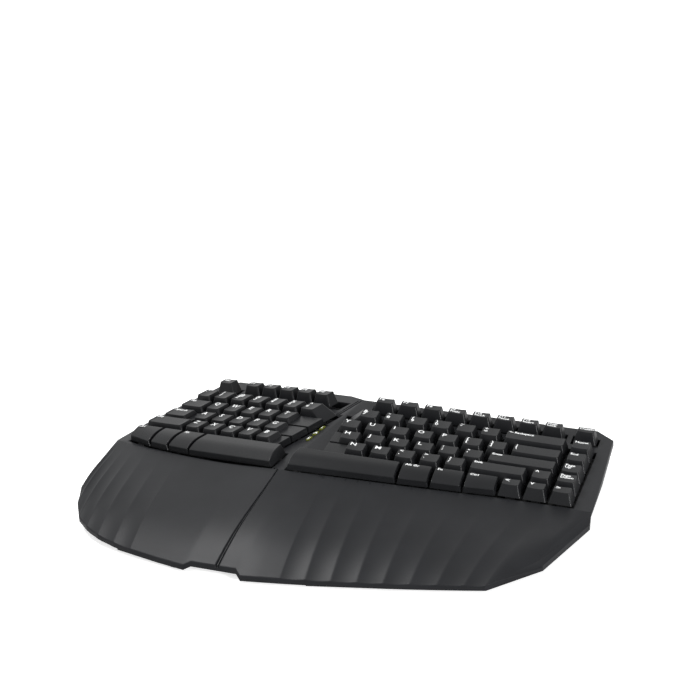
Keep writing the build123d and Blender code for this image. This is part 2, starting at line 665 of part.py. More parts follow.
def all_posts(half):
    """Post places of every key of a half: those over a dome, then the guides."""
    domes, guides = [], []
    for node, key_half, row, left, right, reach in KEYS:
        if key_half == half:
            front, rear = (edge * PITCH for edge in ROW_SHARES[row])
            places = post_places(left * PITCH, right * PITCH, front, rear)
            domes.append(places[0])
            guides += places[1:]
    for node, key_half, *corners in ROLL_KEY_SHARES:
        if key_half == half:
            places = roll_places(corners)
            domes.append(places[0])
            guides += places[1:]
    return domes, guides


def make_keys():
    """All keycaps, gathered by node."""
    groups = {}
    for node, half, row, left, right, reach in KEYS:
        groups.setdefault(node, []).append(FRAMES[half] * small_key(row, left, right, reach))
    for node, half, *corners in ROLL_KEY_SHARES:
        groups.setdefault(node, []).append(FRAMES[half] * roll_key(corners))
    for node, solids in groups.items():
        save(solids, node)


def stack_layer(half, top, bottom):
    """Flat sheet on the plate's outline between two depths."""
    return prism([scaled(s) for s in PLATE_SHARES[half]], -bottom, -top)


def key_plate(half):
    """Moulded plate with a chimney for each post and a rib round its underside."""
    outline = anticlockwise([scaled(s) for s in PLATE_SHARES[half]])
    plate = stack_layer(half, PLATE_DEPTH, PLATE_BASE)
    rib = prism(outline, -FILM_TOP, -PLATE_BASE)
    rib -= prism(even_inset(outline, STACK_RIB), -FILM_TOP, -PLATE_BASE)
    domes, guides = all_posts(half)
    inner = POST + 2 * POST_CLEARANCE
    outer = inner + 2 * CHIMNEY_WALL
    head = CHIMNEY_HEIGHT - PLATE_DEPTH
    chimneys = [centred_box(x, y, outer, -PLATE_DEPTH, head) for x, y in domes + guides]
    bores = [centred_box(x, y, inner, -FILM_TOP, head + OVERRUN) for x, y in domes + guides]
    return plate.fuse(rib, *chimneys).cut(*bores)


def dome(x, y):
    """One many-sided rubber dome on the film."""
    def ring(radius):
        turns = [2 * math.pi * (k + 0.5) / DOME_SIDES for k in range(DOME_SIDES)]
        return [(x + radius * math.cos(a), y + radius * math.sin(a)) for a in turns]
    top = -PLATE_BASE - POST_DROP
    return tapered_block(ring(DOME_RADIUS), ring(DOME_TOP_RADIUS), -FILM_TOP, top)


def make_stacks():
    """Key plates, dome sheets, membranes and back plates."""
    backs = []
    for half in SIDES:
        save([FRAMES[half] * key_plate(half)], half + "_key_plate")
        film = stack_layer(half, FILM_TOP, FILM_TOP + FILM)
        domes = [dome(x, y) for x, y in all_posts(half)[0]]
        save([FRAMES[half] * film.fuse(*domes)], half + "_dome_sheet")
        membrane = stack_layer(half, FILM_TOP + FILM, FILM_TOP + FILM + MEMBRANE)
        save([FRAMES[half] * membrane], half + "_membrane")
        backs.append(FRAMES[half] * stack_layer(half, STACK_BASE - BACK_PLATE, STACK_BASE))
    save(backs, "back_plates")


def line_cutter(start, end, width, depth):
    """Groove along a plan line, cut down into the upper side to one depth."""
    run = (end[0] - start[0], end[1] - start[1])
    length = math.hypot(*run)
    across = (-run[1] / length * width / 2, run[0] / length * width / 2)
    loop = [
        (start[0] - across[0], start[1] - across[1]), (end[0] - across[0], end[1] - across[1]),
        (end[0] + across[0], end[1] + across[1]), (start[0] + across[0], start[1] + across[1]),
    ]
    return prism(loop, 0, HIGH) - slab(depth)


def top_cover():
    """Moulded cover with its palm rest, key wells, collars, grooves, lamp slots and screw bosses."""
    plan = corners_only([(x, y) for x, y, z in shape_top(0)[1]])
    hollow = prism(even_inset(plan, LIP), DEEP, HIGH) & slab(SKIN)
    cover = slab(0, RIM_HEIGHT) - hollow
    under = slab(SKIN / 2)
    for half, wells in WELL_SHARES.items():
        for well in wells:
            outline = even_inset(anticlockwise([scaled(s) for s in well]), -WELL_GAP)
            collar = prism(even_inset(outline, -COLLAR_WALL), -PLATE_DEPTH, 0)
            cover += (FRAMES[half] * collar) & under
            cover -= FRAMES[half] * prism(outline, -PLATE_DEPTH - OVERRUN, PLATE_DEPTH)
    for start, end in GROOVE_LINE_SHARES:
        cover -= line_cutter(scaled(start), scaled(end), GROOVE_WIDTH, GROOVE_DEPTH)
    cover -= line_cutter(scaled(SEAM_LINE_SHARES[0]), scaled(SEAM_LINE_SHARES[1]), SEAM_WIDTH, SEAM_DEPTH)
    cover -= strip_frame(LENS_SHARES[1]) * slot_block(0)
    for place in LENS_SHARES:
        cover -= strip_frame(place) * Box(LENS_WIDTH, LENS_LENGTH, 2 * (SKIN + LENS_FLANGE))
        cover -= strip_frame(place) * lens_flange(LENS_GAP)
    for place in SCREW_SHARES:
        bottom = PAD_HEIGHT + CASE_FLOOR + CASE_GAP
        cover += prism(ring_loop(place, BOSS_RADIUS, POST_SIDES), bottom, HIGH) & under
        bore = ring_loop(place, SCREW_RADIUS + SCREW_GAP, POST_SIDES)
        cover -= prism(bore, bottom, PAD_HEIGHT + SCREW_LENGTH + CASE_GAP)
    return cover


def ring_loop(place, radius, sides):
    """Regular loop round a place, with flats outside the radius."""
    x, y = scaled(place)
    turns = [2 * math.pi * (k + 0.5) / sides for k in range(sides)]
    reach = radius / math.cos(math.pi / sides)
    return [(x + reach * math.cos(a), y + reach * math.sin(a)) for a in turns]


def strip_frame(place):
    """Location on the left side of the ridge, square to the cover."""
    tent = math.radians(TENT_ANGLE)
    along = (math.cos(tent), 0, math.sin(tent))
    out = (-math.sin(tent), 0, math.cos(tent))
    return Plane(origin=on_deck(scaled(place)), x_dir=along, z_dir=out).location


def slot_block(margin):
    """Block that cuts the shallow slot round the lamp windows."""
    width, length = scaled(LENS_SLOT_SHARES)
    return Box(width - 2 * margin, length - 2 * margin, 2 * LENS_SLOT_DEPTH)


def lens_flange(margin):
    """Block of a lamp window's flange under the cover."""
    width, length = LENS_WIDTH + LENS_FLANGE + 2 * margin, LENS_LENGTH + LENS_FLANGE + 2 * margin
    return Pos(0, 0, -SKIN - LENS_FLANGE / 2) * Box(width, length, LENS_FLANGE + 2 * margin)


def lamp_lens(place):
    """One lamp window with the flange that holds it under the cover."""
    width, length = LENS_WIDTH - 2 * LENS_GAP, LENS_LENGTH - 2 * LENS_GAP
    low = SKIN + LENS_FLANGE
    stem = Pos(0, 0, (LENS_RISE - low) / 2) * Box(width, length, LENS_RISE + low)
    return (strip_frame(place) * (stem + lens_flange(0))).solid()


def foot_places():
    """Hinge centre of each fold-out foot."""
    level = PAD_HEIGHT + CASE_GAP + FOOT_THICKNESS / 2
    return [scaled(place) + (level,) for place in FOOT_SHARES]


def cross_bar(radius, length):
    """Many-sided bar along the foot's hinge, its corners on the radius."""
    turns = [2 * math.pi * k / TURNED_SIDES for k in range(TURNED_SIDES)]
    corners = [Vector(-length / 2, radius * math.cos(a), radius * math.sin(a)) for a in turns]
    return Solid.extrude(Face(Wire.make_polygon(corners, close=True)), Vector(length, 0, 0))


def foot_solid():
    """Fold-out foot lying forwards from its hinge, hollow above, with a pin at each side."""
    half = FOOT_THICKNESS / 2
    barrel = Cylinder(half, FOOT_WIDTH, rotation=(0, 90, 0))
    plate = Pos(0, -(FOOT_LENGTH - half) / 2, 0) * Box(FOOT_WIDTH, FOOT_LENGTH - half, FOOT_THICKNESS)
    hollow = Box(FOOT_WIDTH - 2 * POCKET_WALL, FOOT_LENGTH - 2 * FOOT_THICKNESS, FOOT_THICKNESS)
    pins = cross_bar(PIN_RADIUS, FOOT_WIDTH + 2 * (FOOT_GAP + PIN_LENGTH))
    return barrel + plate + pins - Pos(0, -FOOT_LENGTH / 2, half - CASE_WALL / 2) * hollow


def foot_pocket():
    """Block of the case round a folded foot, and the space that the foot and its pins need."""
    half = FOOT_THICKNESS / 2
    middle = -(FOOT_LENGTH - half) / 2 + half / 2
    width, length = FOOT_WIDTH + 2 * FOOT_GAP, FOOT_LENGTH + 2 * FOOT_GAP
    low, high = -half - CASE_GAP, half + FOOT_GAP
    block = Pos(0, middle, (low + high + CASE_FLOOR) / 2)
    block = block * Box(width + 2 * POCKET_WALL, length + 2 * POCKET_WALL, high - low + CASE_FLOOR)
    space = Pos(0, middle, high - HIGH / 2) * Box(width, length, HIGH)
    reach = (PIN_RADIUS + PIN_CLEARANCE) / math.cos(math.pi / TURNED_SIDES)
    hole = cross_bar(reach, FOOT_WIDTH + 2 * (2 * FOOT_GAP + PIN_LENGTH))
    return block, space + hole


def board_posts():
    """Corners of the controller board that stand on posts."""
    x, y = scaled(BOARD_SHARE)
    reach_x, reach_y = (BOARD_LENGTH - BOARD_POST) / 2, (BOARD_WIDTH - BOARD_POST) / 2
    return [(x + i * reach_x, y + j * reach_y) for i in (-1, 1) for j in (-1, 1)]


def slab_above(level):
    """Everything over a height in a half's frame, as one wide block."""
    reach = scaled(RIGHT_SHOULDER_SHARE)[0]
    return prism(cell_loop(-reach, 2 * reach, -reach, reach), level, HIGH)


def controller_board():
    """Board with its chip and the socket of the membranes."""
    x, y = scaled(BOARD_SHARE)
    level = PAD_HEIGHT + CASE_FLOOR + BOARD_LIFT
    seat = (Align.CENTER, Align.CENTER, Align.MIN)
    board = Pos(x, y, level) * Box(BOARD_LENGTH, BOARD_WIDTH, BOARD_THICKNESS, align=seat)
    chip = Box(CHIP_SIZE, CHIP_SIZE, BOARD_THICKNESS + CHIP_HEIGHT, align=seat)
    socket = Box(SOCKET_LENGTH, SOCKET_WIDTH, BOARD_THICKNESS + SOCKET_HEIGHT, align=seat)
    front = Pos(x, y - (BOARD_WIDTH - SOCKET_WIDTH) / 2, level)
    return board + Pos(x - CHIP_SIZE, y, level) * chip + front * socket


def inlet_bore(radius, near, far):
    """Cylinder along the cord's way in, between two distances from the block's rear face."""
    x, y = scaled(INLET_SHARE)
    roll = Cylinder(radius, far - near, rotation=(90, 0, 0))
    return Pos(x, y - (near + far) / 2, INLET_HEIGHT) * roll


def inlet_bar(width, near, far):
    """Square block with cut corners along the cord's way in."""
    x, y = scaled(INLET_SHARE)
    turns = [math.pi * (2 * k + 1) / POST_SIDES for k in range(POST_SIDES)]
    reach = width / 2 / math.cos(math.pi / POST_SIDES)
    corners = [Vector(x + reach * math.cos(a), y - far, INLET_HEIGHT + reach * math.sin(a)) for a in turns]
    return Solid.extrude(Face(Wire.make_polygon(corners, close=True)), Vector(0, far - near, 0))


def bottom_case():
    """Undercut tray with ribs under the back plates, foot pockets, board posts and the cord's block."""
    block = case_block(LIP + CASE_GAP, PAD_HEIGHT) & slab(SKIN)
    hollow = case_block(LIP + CASE_GAP + CASE_WALL, PAD_HEIGHT + CASE_FLOOR)
    case = block - hollow
    level = PAD_HEIGHT + CASE_FLOOR
    root = PAD_HEIGHT + CASE_FLOOR / 2
    for half, places in RIB_SHARES.items():
        above = FRAMES[half] * slab_above(-STACK_BASE)
        for share in places:
            x, front, rear = share * PITCH, RIB_RUN_SHARES[0] * PITCH, RIB_RUN_SHARES[1] * PITCH
            loop = cell_loop(x - RIB_THICKNESS / 2, x + RIB_THICKNESS / 2, front, rear)
            case += prism(loop, root, RIDGE_HEIGHT) - above
    for x, y in board_posts():
        case += centred_box(x, y, BOARD_POST, root, level + BOARD_LIFT)
    for place in foot_places():
        block, space = foot_pocket()
        case += Pos(*place) * block
        case -= Pos(*place) * space
    x, y = scaled(INLET_SHARE)
    loop = cell_loop(x - INLET_BLOCK / 2, x + INLET_BLOCK / 2, y - INLET_REACH, y)
    case += prism(loop, INLET_HEIGHT - INLET_BLOCK / 2, INLET_HEIGHT + INLET_BLOCK / 2)
    case -= inlet_bar(INLET_WIDTH, -OVERRUN, INLET_REACH + OVERRUN)
    for place in SCREW_SHARES:
        shank = ring_loop(place, SCREW_RADIUS + SCREW_GAP, TURNED_SIDES)
        head = ring_loop(place, SCREW_HEAD_RADIUS + SCREW_GAP, TURNED_SIDES)
        case -= prism(shank, 0, level + CASE_FLOOR) + prism(head, 0, PAD_HEIGHT + SCREW_HEAD)
    return case


def case_screw(place):
    """One screw from below through the case into the cover's boss."""
    head = ring_loop(place, SCREW_HEAD_RADIUS * FLAT_SHARE, TURNED_SIDES)
    shank = ring_loop(place, SCREW_RADIUS * FLAT_SHARE, POST_SIDES)
    top, tip = PAD_HEIGHT + SCREW_HEAD, PAD_HEIGHT + SCREW_LENGTH
    return prism(head, PAD_HEIGHT, top) + prism(shank, PAD_HEIGHT, tip)


def rubber_pads():
    """Long pads under the front edge and round ones at the rear."""
    seat = (Align.CENTER, Align.CENTER, Align.MIN)
    pads = []
    for place, turn in zip(FRONT_PAD_SHARES, FRONT_PAD_TURNS):
        bar = Box(PAD_LENGTH, PAD_WIDTH, PAD_HEIGHT, align=seat)
        pads.append((Pos(*scaled(place), 0) * Rot(0, 0, turn) * bar).solid())
    for place in REAR_PAD_SHARES:
        pads.append(prism(ring_loop(place, REAR_PAD_RADIUS, TURNED_SIDES), 0, PAD_HEIGHT))
    return pads


def build_all():
    """Build and write every node."""
    save([top_cover()], "top_cover")
    save([bottom_case()], "bottom_case")
    make_stacks()
    make_keys()
    save([lamp_lens(place) for place in LENS_SHARES], "indicator_lenses")
    save([case_screw(place) for place in SCREW_SHARES], "case_screws")
    save(rubber_pads(), "rubber_pads")
    for node, place in zip(FOOT_NODES, foot_places()):
        save([Pos(*place) * foot_solid()], node)
    save([controller_board()], "controller_board")
    bush = inlet_bar(INLET_WIDTH - 2 * LENS_GAP, 0, INLET_REACH)
    bush += inlet_bar(INLET_FLANGE_WIDTH, -INLET_FLANGE, 0)
    save([bush - inlet_bore(INLET_BORE, -OVERRUN, INLET_REACH + OVERRUN)], "cable_inlet")


build_all()
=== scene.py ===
import math

import bmesh
import bpy
from mathutils import Matrix, Vector


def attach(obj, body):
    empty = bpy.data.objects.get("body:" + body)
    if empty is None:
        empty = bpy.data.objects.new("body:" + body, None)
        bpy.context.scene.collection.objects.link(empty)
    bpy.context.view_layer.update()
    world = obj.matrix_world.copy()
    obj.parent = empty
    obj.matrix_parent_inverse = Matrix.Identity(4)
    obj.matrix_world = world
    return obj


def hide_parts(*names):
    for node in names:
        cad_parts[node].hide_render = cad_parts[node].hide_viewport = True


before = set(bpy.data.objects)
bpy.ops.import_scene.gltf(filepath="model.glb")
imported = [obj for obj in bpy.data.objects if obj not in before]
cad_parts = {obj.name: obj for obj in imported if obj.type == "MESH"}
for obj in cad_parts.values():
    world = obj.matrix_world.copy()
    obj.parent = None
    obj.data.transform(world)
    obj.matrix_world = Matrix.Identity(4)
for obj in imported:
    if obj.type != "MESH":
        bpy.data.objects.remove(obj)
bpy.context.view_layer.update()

bl_info = {
    "name": "Split keyboard dressing",
    "version": (1, 0, 0),
    "blender": (4, 5, 0),
    "location": "3D View > Sidebar > Keyboard",
    "description": "Dresses the packed split keyboard with moulded caps, key letters and plastics",
    "category": "Object",
}

MM = 0.001

# Key fields, in millimetres: pitch, tilt, turn, ridge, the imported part's middle, and each field's start
PITCH = 19.05
TENT = math.radians(6.76)
SPLIT = math.radians(12.58)
RIDGE = 43.4
CENTRE = (25.946, -54.845)
FIELD_START = {"right": (31.3, 0.0), "left": (131.6, 21.95)}
SIDE = {"right": 1, "left": -1}

# Caps, in millimetres; the dish's columns and the ledge's taper are shares, and WIDE_CAP is in pitches
CAP_GAP = 0.9
CAP_FOOT = 0.3
CAP_HEIGHT = 9.2
CAP_INSET = 3.2
CAP_DISH = 0.45
CAP_DISH_COLUMNS = (-0.75, -0.4, 0, 0.4, 0.75)
CAP_CORNER = 1.3
CAP_RIM_ROUND = 0.35
CAP_WALL = 1.2
POST = 4.0
POST_DEPTH = 7.2
WIDE_CAP = 2.2
LEDGE_HEIGHT = 5.4
LEDGE_TAPER = 0.93
LEDGE_ROUND = 0.5
SHALLOW_REAR_INSET = 1.0

# Deep caps of the front row, in millimetres; cuts are behind the front face, letters are size, right, down
ROLL_FACE = 5.0
ROLL_DEPTH = 14.0
ROLL_POWER = 1.9
ROLL_CUTS = (1.2, 2.8, 4.8, 7.2, 10.2, ROLL_DEPTH)
ROLL_SIDE_INSET = 1.6
ROLL_CORNER = 0.8
ROLL_POST_DROP = 1.5
ROLL_LETTERS = (4.0, 3.2, 3.9)

# Palm rest, in shares of the pitch: shoulders, crease, then crease x, rim x, rim y and share of the lift
SHOULDERS = ((-9.218, -2.541), (11.837, -1.969))
CREASES = ((-7.19, -3.386), (-2.52, -4.777), (0.0, -5.092))
LEFT_RIM = (
    (-9.1, -8.4, -6.588, 3.5), (-8.95, -7.95, -7.56, 2.5), (-8.5, -7.36, -8.383, 1.5),
    (-7.9, -6.667, -8.9, 1.1), (-7.15, -5.874, -9.328, 0.8), (-6.2, -4.934, -9.648, 0.5),
    (-5.2, -3.99, -9.895, 0.3), (-3.6, -2.688, -10.1, 0.0), (-1.9, -1.386, -10.315, 0.0),
    (-1.5, -1.16, -10.1, 0.55), (0.0, 0.0, -10.084, 0.55), (0.75, 0.803, -10.068, 0.55),
)
# Front edge right of the seam: its ends, and the ridges' places along it as shares of its length
FRONT_ENDS = ((1.16, -10.383), (10.215, -8.0))
FRONT_SHARES = (0.0, 0.08, 0.168, 0.275, 0.382, 0.489, 0.596, 0.703, 0.81, 0.917, 1.0)
FRONT_CREASE = (0.95, 10.5)
FRONT_FAN = 1.35
FRONT_BOW = 0.178
# Outer corners of the facet at the front right, as the ridges above
FACET = ((10.8, 10.441, -7.66, 0.43), (11.3, 11.286, -5.895, 1.0))
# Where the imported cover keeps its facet, and the line of its seam
FACET_SIDE = 10.3
SEAM_LINE = ((-0.2, -4.9), (0.0, -11.0))

# Palm rest's rim and crown, in millimetres, with the rounding's steps in degrees
RIM_TOP = 6.5
RIM_DEPTH = 4.0
RIM_ROUND = 1.3
RIM_TURNS = (30, 60, 90)
CORNER_LIFT = 3.0
PALM_CROWN = 3.2
PALM_RUN = 5 * PITCH
CROWN_POWER = 1.6
PALM_ROWS = 26

# Flutes: depth in millimetres, where they fade in as shares of the way forward, and which ridges have one
FLUTE_DEPTH = 0.7
FLUTE_FADE = (0.03, 0.6)
FLUTE_COLUMNS = 16
FLUTED_ON_LEFT = 6
PLAIN_AT_FRONT = 2

# Seam between the palm rests, in millimetres: distance from its middle and depth, narrower at the rear
SEAM_TAPER = 0.4
SEAM_REACH = 0.7
SEAM_PROFILE = (
    (-2.4, 0), (-1.45, 0), (-1.25, 1.8), (-0.4, 1.8), (-0.25, 0.35), (0.25, 0.35), (0.4, 1.8), (1.25, 1.8),
    (1.45, 0), (2.4, 0),
)
DECK_EDGE_ROUND = 0.5

# Lamp windows in the strip, in shares of the pitch, and their signs: size, left and top in millimetres
LAMPS = ((-0.325, -0.84), (-0.325, -1.39), (-0.325, -1.94))
LAMP_SIGNS = ("1", "A", "S")
SIGN_SIZE = 5.0
SIGN_START = (-1.55, 1.9)
SIGN_LIFT = 0.35

# Letters, in millimetres: sizes for one line or two, one sign or two, and a short word or a long one
LETTER_SIZES = {"function": (4.4, 3.7), "sign": (6.4, 5.2), "word": (4.0, 3.6)}
SHORT_WORD = 4
LETTER_MARGIN = (1.0, 0.8)
LETTER_WEIGHT = 0.11
LINE_SPACE = 0.8
INK_LIFT = 0.05

# Distances within which corners are one, in millimetres: loose triangles, the fine skin, the whole cover
MERGE = 0.004
SKIN_MERGE = 0.002
COVER_MERGE = 0.01

# Play when corners, edges and faces are picked, in millimetres
PLAY = 0.05
SIZE_PLAY = 0.01
COLUMN_PLAY = 0.02
TOP_PLAY = 0.1
RIM_PLAY = 0.2
MIDDLE_PLAY = 0.3

# Reach round a line and behind the crease, and the height above which a piece is picked, in millimetres
WALL_REACH = 0.08
FACET_REACH = 0.1
CREASE_REACH = 0.5
SEAM_FOOT = 5.0
ROLL_RIM_FOOT = 2.0

# Heights of a unit normal on a level face, a cap's top, a flat face, a half steep one and a wall
LEVEL_RISE = 0.98
CAP_TOP_RISE = 0.93
FLAT_RISE = 0.9
HALF_RISE = 0.5
WALL_RISE = 0.3

# Angle of a rolled cap's sharp edges, in radians; then in degrees, for smooth shading and for rounding
SHARP = 0.6
SMOOTH_ANGLE = 35
CAP_SMOOTH_ANGLE = 38
ROUND_ANGLE = 40

# Noises of the materials, in grains per metre, and how far they change the roughness
SLOW_GRAIN = 1 / 0.03
LAMP_GRAIN = 900
INK_GRAIN = 2500
ROLLED_GRAIN = (40, 4000, 4000)
PLASTIC_UNEVEN = 0.06
STEEL_UNEVEN = 0.1

# Camera of the photograph: place and reach in metres, directions, lens and sensor in millimetres
CAMERA_PLACE = (0.923810, -1.599180, 0.821630)
CAMERA_RIGHT = (0.87887, 0.47120, -0.07463)
CAMERA_FORWARD = (-0.46443, 0.80927, -0.35971)
CAMERA_LENS = 137.16
CAMERA_SENSOR = 36
CAMERA_REACH = 30

# Lamps: name, place, aim, size and power, in metres and watts; then the world's light and the floor
STUDIO_LAMPS = (
    ("lamp_top", (-0.86, 0.1, 1.62), (0, -0.05, 0), (0.55, 0.55), 25),
    ("lamp_front", (-0.9, -1.6, 1.1), (0, -0.05, 0), (1.2, 0.9), 6),
    ("lamp_right", (1.7, -0.95, 0.62), (0.05, 0, 0), (0.2, 0.8), 38),
)
WORLD_LEVEL = 0.45
FLOOR_SIZE = 12
FLOOR_GLOW = 0.66

# Rows of a key field: front and rear edge in shares of the pitch, and by what share its caps are taller
ROWS = {
    "function": (1.38, 2.03, 0.058), "number": (-0.17, 0.83, 0.097), "upper": (-1.17, -0.17, 0.0),
    "home": (-2.17, -1.17, -0.024), "lower": (-3.17, -2.17, 0.09), "arrow": (-4.04, -3.2, 0.03),
}


def side_by_side(left, texts, far_edges=None):
    """Caps of one pitch from a left edge on, with the far edge of a foot or ledge, and the letters."""
    caps = []
    for k, text in enumerate(texts):
        start = round(left + k, 2)
        caps.append((start, round(start + 1, 2), (far_edges or {}).get(text), text))
    return caps


def letter_keys(half, row, left, letters, far_edges=None):
    """A key of its own for each letter of a run."""
    caps = side_by_side(left, letters, far_edges)
    return [("key_" + cap[-1].lower(), half, row, [cap]) for cap in caps]


# Caps by node, half and row, in shares of the pitch; an edge beside one is a slanted foot's or a ledge's
CAPS = [
    ("key_escape", "left", "function", side_by_side(-0.97, ["Esc"])),
    ("keys_function_left", "left", "function", side_by_side(0.59, ["F1", "F2", "F3", "F4", "F5"])),
    ("keys_digit_left", "left", "number", side_by_side(
        -0.83, ["~\n`", "!\n1", "@\n2", "#\n3", "$\n4", "%\n5", "^\n6"], {"^\n6": 6.55})),
    ("key_tab", "left", "upper", [(-0.83, 0.67, None, "Tab")]),
    *letter_keys("left", "upper", 0.67, "QWERT", {"T": 6.72}),
    ("key_caps_lock", "left", "home", [(-0.83, 0.65, 0.92, "CapsLock")]),
    *letter_keys("left", "home", 0.92, "ASDFG", {"G": 6.72}),
    ("key_shift_left", "left", "lower", [(-0.83, 1.42, None, "Shift")]),
    *letter_keys("left", "lower", 1.42, "ZXCVB", {"B": 6.72}),
    ("keys_function_right", "right", "function", side_by_side(
        -0.53, ["F6", "F7", "F8", "F9\nPrtSc", "F10\nScrLk", "F11\nPause", "F12\nInsert", "Num\nLock"])),
    ("keys_navigation", "right", "function", side_by_side(7.79, ["Delete"])),
    ("keys_digit_right", "right", "number", side_by_side(
        -0.83, ["&\n7", "*\n8", "(\n9", ")\n0", "_\n-", "+\n="], {"&\n7": -1.22})),
    ("key_backspace", "right", "number", [(5.17, 7.83, None, "<- Backspace")]),
    ("keys_navigation", "right", "number", side_by_side(7.85, ["Home"])),
    *letter_keys("right", "upper", -1.33, "YUIOP"),
    ("keys_punctuation", "right", "upper", side_by_side(3.67, ["{\n[", "}\n]"])),
    ("keys_punctuation", "right", "upper", [(5.67, 7.83, None, "|\n\\")]),
    ("keys_navigation", "right", "upper", side_by_side(7.85, ["End"])),
    *letter_keys("right", "home", -1.08, "HJKL", {"H": -1.34}),
    ("keys_punctuation", "right", "home", side_by_side(2.92, [":\n;", "\"\n'"])),
    ("key_enter", "right", "home", [(4.92, 7.83, None, "Enter")]),
    ("keys_navigation", "right", "home", side_by_side(7.85, ["Page\nUp"])),
    *letter_keys("right", "lower", -0.58, "NM", {"N": -1.34}),
    ("keys_punctuation", "right", "lower", side_by_side(1.42, ["<\n,", ">\n.", "?\n/"])),
    ("key_shift_right", "right", "lower", [(4.42, 6.84, None, "Shift")]),
    ("keys_arrow", "right", "lower", [(6.85, 7.84, None, "^")]),
    ("keys_navigation", "right", "lower", side_by_side(7.86, ["Page\nDown"])),
    ("keys_arrow", "right", "arrow", [
        (5.87, 6.85, None, "<"), (6.86, 7.85, None, "v"), (7.86, 8.86, None, ">"),
    ]),
]

# Deep caps of the front row: node, half, corners from rear left clockwise, letters
ROLLED_CAPS = [
    ("keys_modifier_left", "left", ((-0.86, -3.19), (0.66, -3.19), (0.66, -4.33), (-0.86, -4.02)), "Ctrl"),
    ("keys_modifier_left", "left", ((0.67, -3.19), (1.82, -3.19), (1.82, -4.45), (0.67, -4.33)), ""),
    ("keys_modifier_left", "left", ((1.83, -3.19), (3.1, -3.19), (3.1, -4.53), (1.83, -4.45)), "Alt"),
    ("key_space_left", "left", ((3.11, -3.19), (7.36, -3.19), (7.73, -4.55), (3.11, -4.56)), ""),
    ("key_space_right", "right", ((-2.25, -3.25), (1.95, -3.19), (1.95, -4.35), (-2.42, -4.57)), ""),
    ("keys_modifier_right", "right", ((1.96, -3.19), (3.24, -3.19), (3.24, -4.28), (1.96, -4.35)), "Alt Gr"),
    ("keys_modifier_right", "right", ((3.25, -3.19), (4.53, -3.19), (4.53, -4.22), (3.25, -4.28)), "Fn"),
    ("keys_modifier_right", "right", ((4.54, -3.19), (5.86, -3.19), (5.86, -4.1), (4.54, -4.22)), "Ctrl"),
]

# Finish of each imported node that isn't a key
FINISHES = {
    "top_cover": "cover_plastic", "bottom_case": "case_plastic", "left_foot": "case_plastic",
    "right_foot": "case_plastic", "indicator_lenses": "lamp_window", "left_key_plate": "plate_plastic",
    "right_key_plate": "plate_plastic", "left_dome_sheet": "dome_rubber", "right_dome_sheet": "dome_rubber",
    "left_membrane": "film", "right_membrane": "film", "back_plates": "steel_sheet",
    "controller_board": "board_lacquer", "rubber_pads": "pad_rubber", "cable_inlet": "pad_rubber",
    "case_screws": "screw_steel",
}

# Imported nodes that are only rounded: node, piece, rounding in millimetres, finish, slot and body
ROUNDED = (
    ("bottom_case", "case_tray", 0.35, "case_plastic", "case", "frame"),
    ("left_foot", "foot_left", 0.4, "case_plastic", "case", "left_foot_body"),
    ("right_foot", "foot_right", 0.4, "case_plastic", "case", "right_foot_body"),
    ("rubber_pads", "pads", 0.5, "pad_rubber", "pads", "frame"),
    ("cable_inlet", "cord_bush", 0.3, "pad_rubber", "bush", "frame"),
)


def settings():
    """The user's own sizes and colours."""
    return bpy.context.scene.split_keyboard


def only(obj):
    """Leave edit mode and make one object the only selected and active one."""
    if bpy.context.object and bpy.context.object.mode != "OBJECT":
        bpy.ops.object.mode_set(mode="OBJECT")
    bpy.ops.object.select_all(action="DESELECT")
    if obj:
        obj.select_set(True)
        bpy.context.view_layer.objects.active = obj


def edit(obj):
    """Go to edit mode on one object."""
    only(obj)
    bpy.ops.object.mode_set(mode="EDIT")


def pick(obj, kind, test):
    """Select the vertices, edges or faces that pass a test, in edit mode, and say how many."""
    bpy.ops.mesh.select_mode(type=kind)
    bpy.ops.mesh.select_all(action="DESELECT")
    mesh = bmesh.from_edit_mesh(obj.data)
    items = {"VERT": mesh.verts, "EDGE": mesh.edges, "FACE": mesh.faces}[kind]
    chosen = [item for item in items if test(item)]
    for item in chosen:
        item.select_set(True)
    mesh.select_flush_mode()
    bmesh.update_edit_mesh(obj.data)
    return len(chosen)


def block(name, low, high):
    """Box between two corners, in millimetres, as an object at the origin."""
    only(None)
    bpy.ops.mesh.primitive_cube_add(size=1)
    obj = bpy.context.object
    obj.name = obj.data.name = name
    obj.scale = [(b - a) * MM for a, b in zip(low, high)]
    obj.location = [(a + b) / 2 * MM for a, b in zip(low, high)]
    bpy.ops.object.transform_apply(location=True, rotation=True, scale=True)
    return obj


def copy_of(obj, name):
    """Copy of an object with a mesh of its own."""
    twin = obj.copy()
    twin.data = obj.data.copy()
    twin.name = twin.data.name = name
    bpy.context.collection.objects.link(twin)
    return twin


def drop_bottom(obj):
    """Open a piece below."""
    pick(obj, "FACE", lambda f: f.normal.z < -FLAT_RISE)
    bpy.ops.mesh.delete(type="FACE")
    only(obj)


def upright(e):
    """True on an edge that runs up a cap's side."""
    return abs(e.verts[0].co.z - e.verts[1].co.z) > MM


def joined(objs, name):
    """One object out of several."""
    only(objs[0])
    for obj in objs[1:]:
        obj.select_set(True)
    if len(objs) > 1:
        bpy.ops.object.join()
    obj = bpy.context.object
    obj.name = obj.data.name = name
    return obj


def placed(obj, matrix):
    """Put a piece where a matrix says, with its place in its mesh."""
    only(obj)
    obj.matrix_world = matrix
    bpy.ops.object.transform_apply(location=True, rotation=True, scale=True)
    return obj


def smooth(obj, degrees):
    """Smooth shading that keeps sharp edges and the flatness of the large faces."""
    only(obj)
    bpy.ops.object.shade_smooth_by_angle(angle=math.radians(degrees))
    even = obj.modifiers.new("even", "WEIGHTED_NORMAL")
    even.keep_sharp = True
    bpy.ops.object.modifier_apply(modifier=even.name)


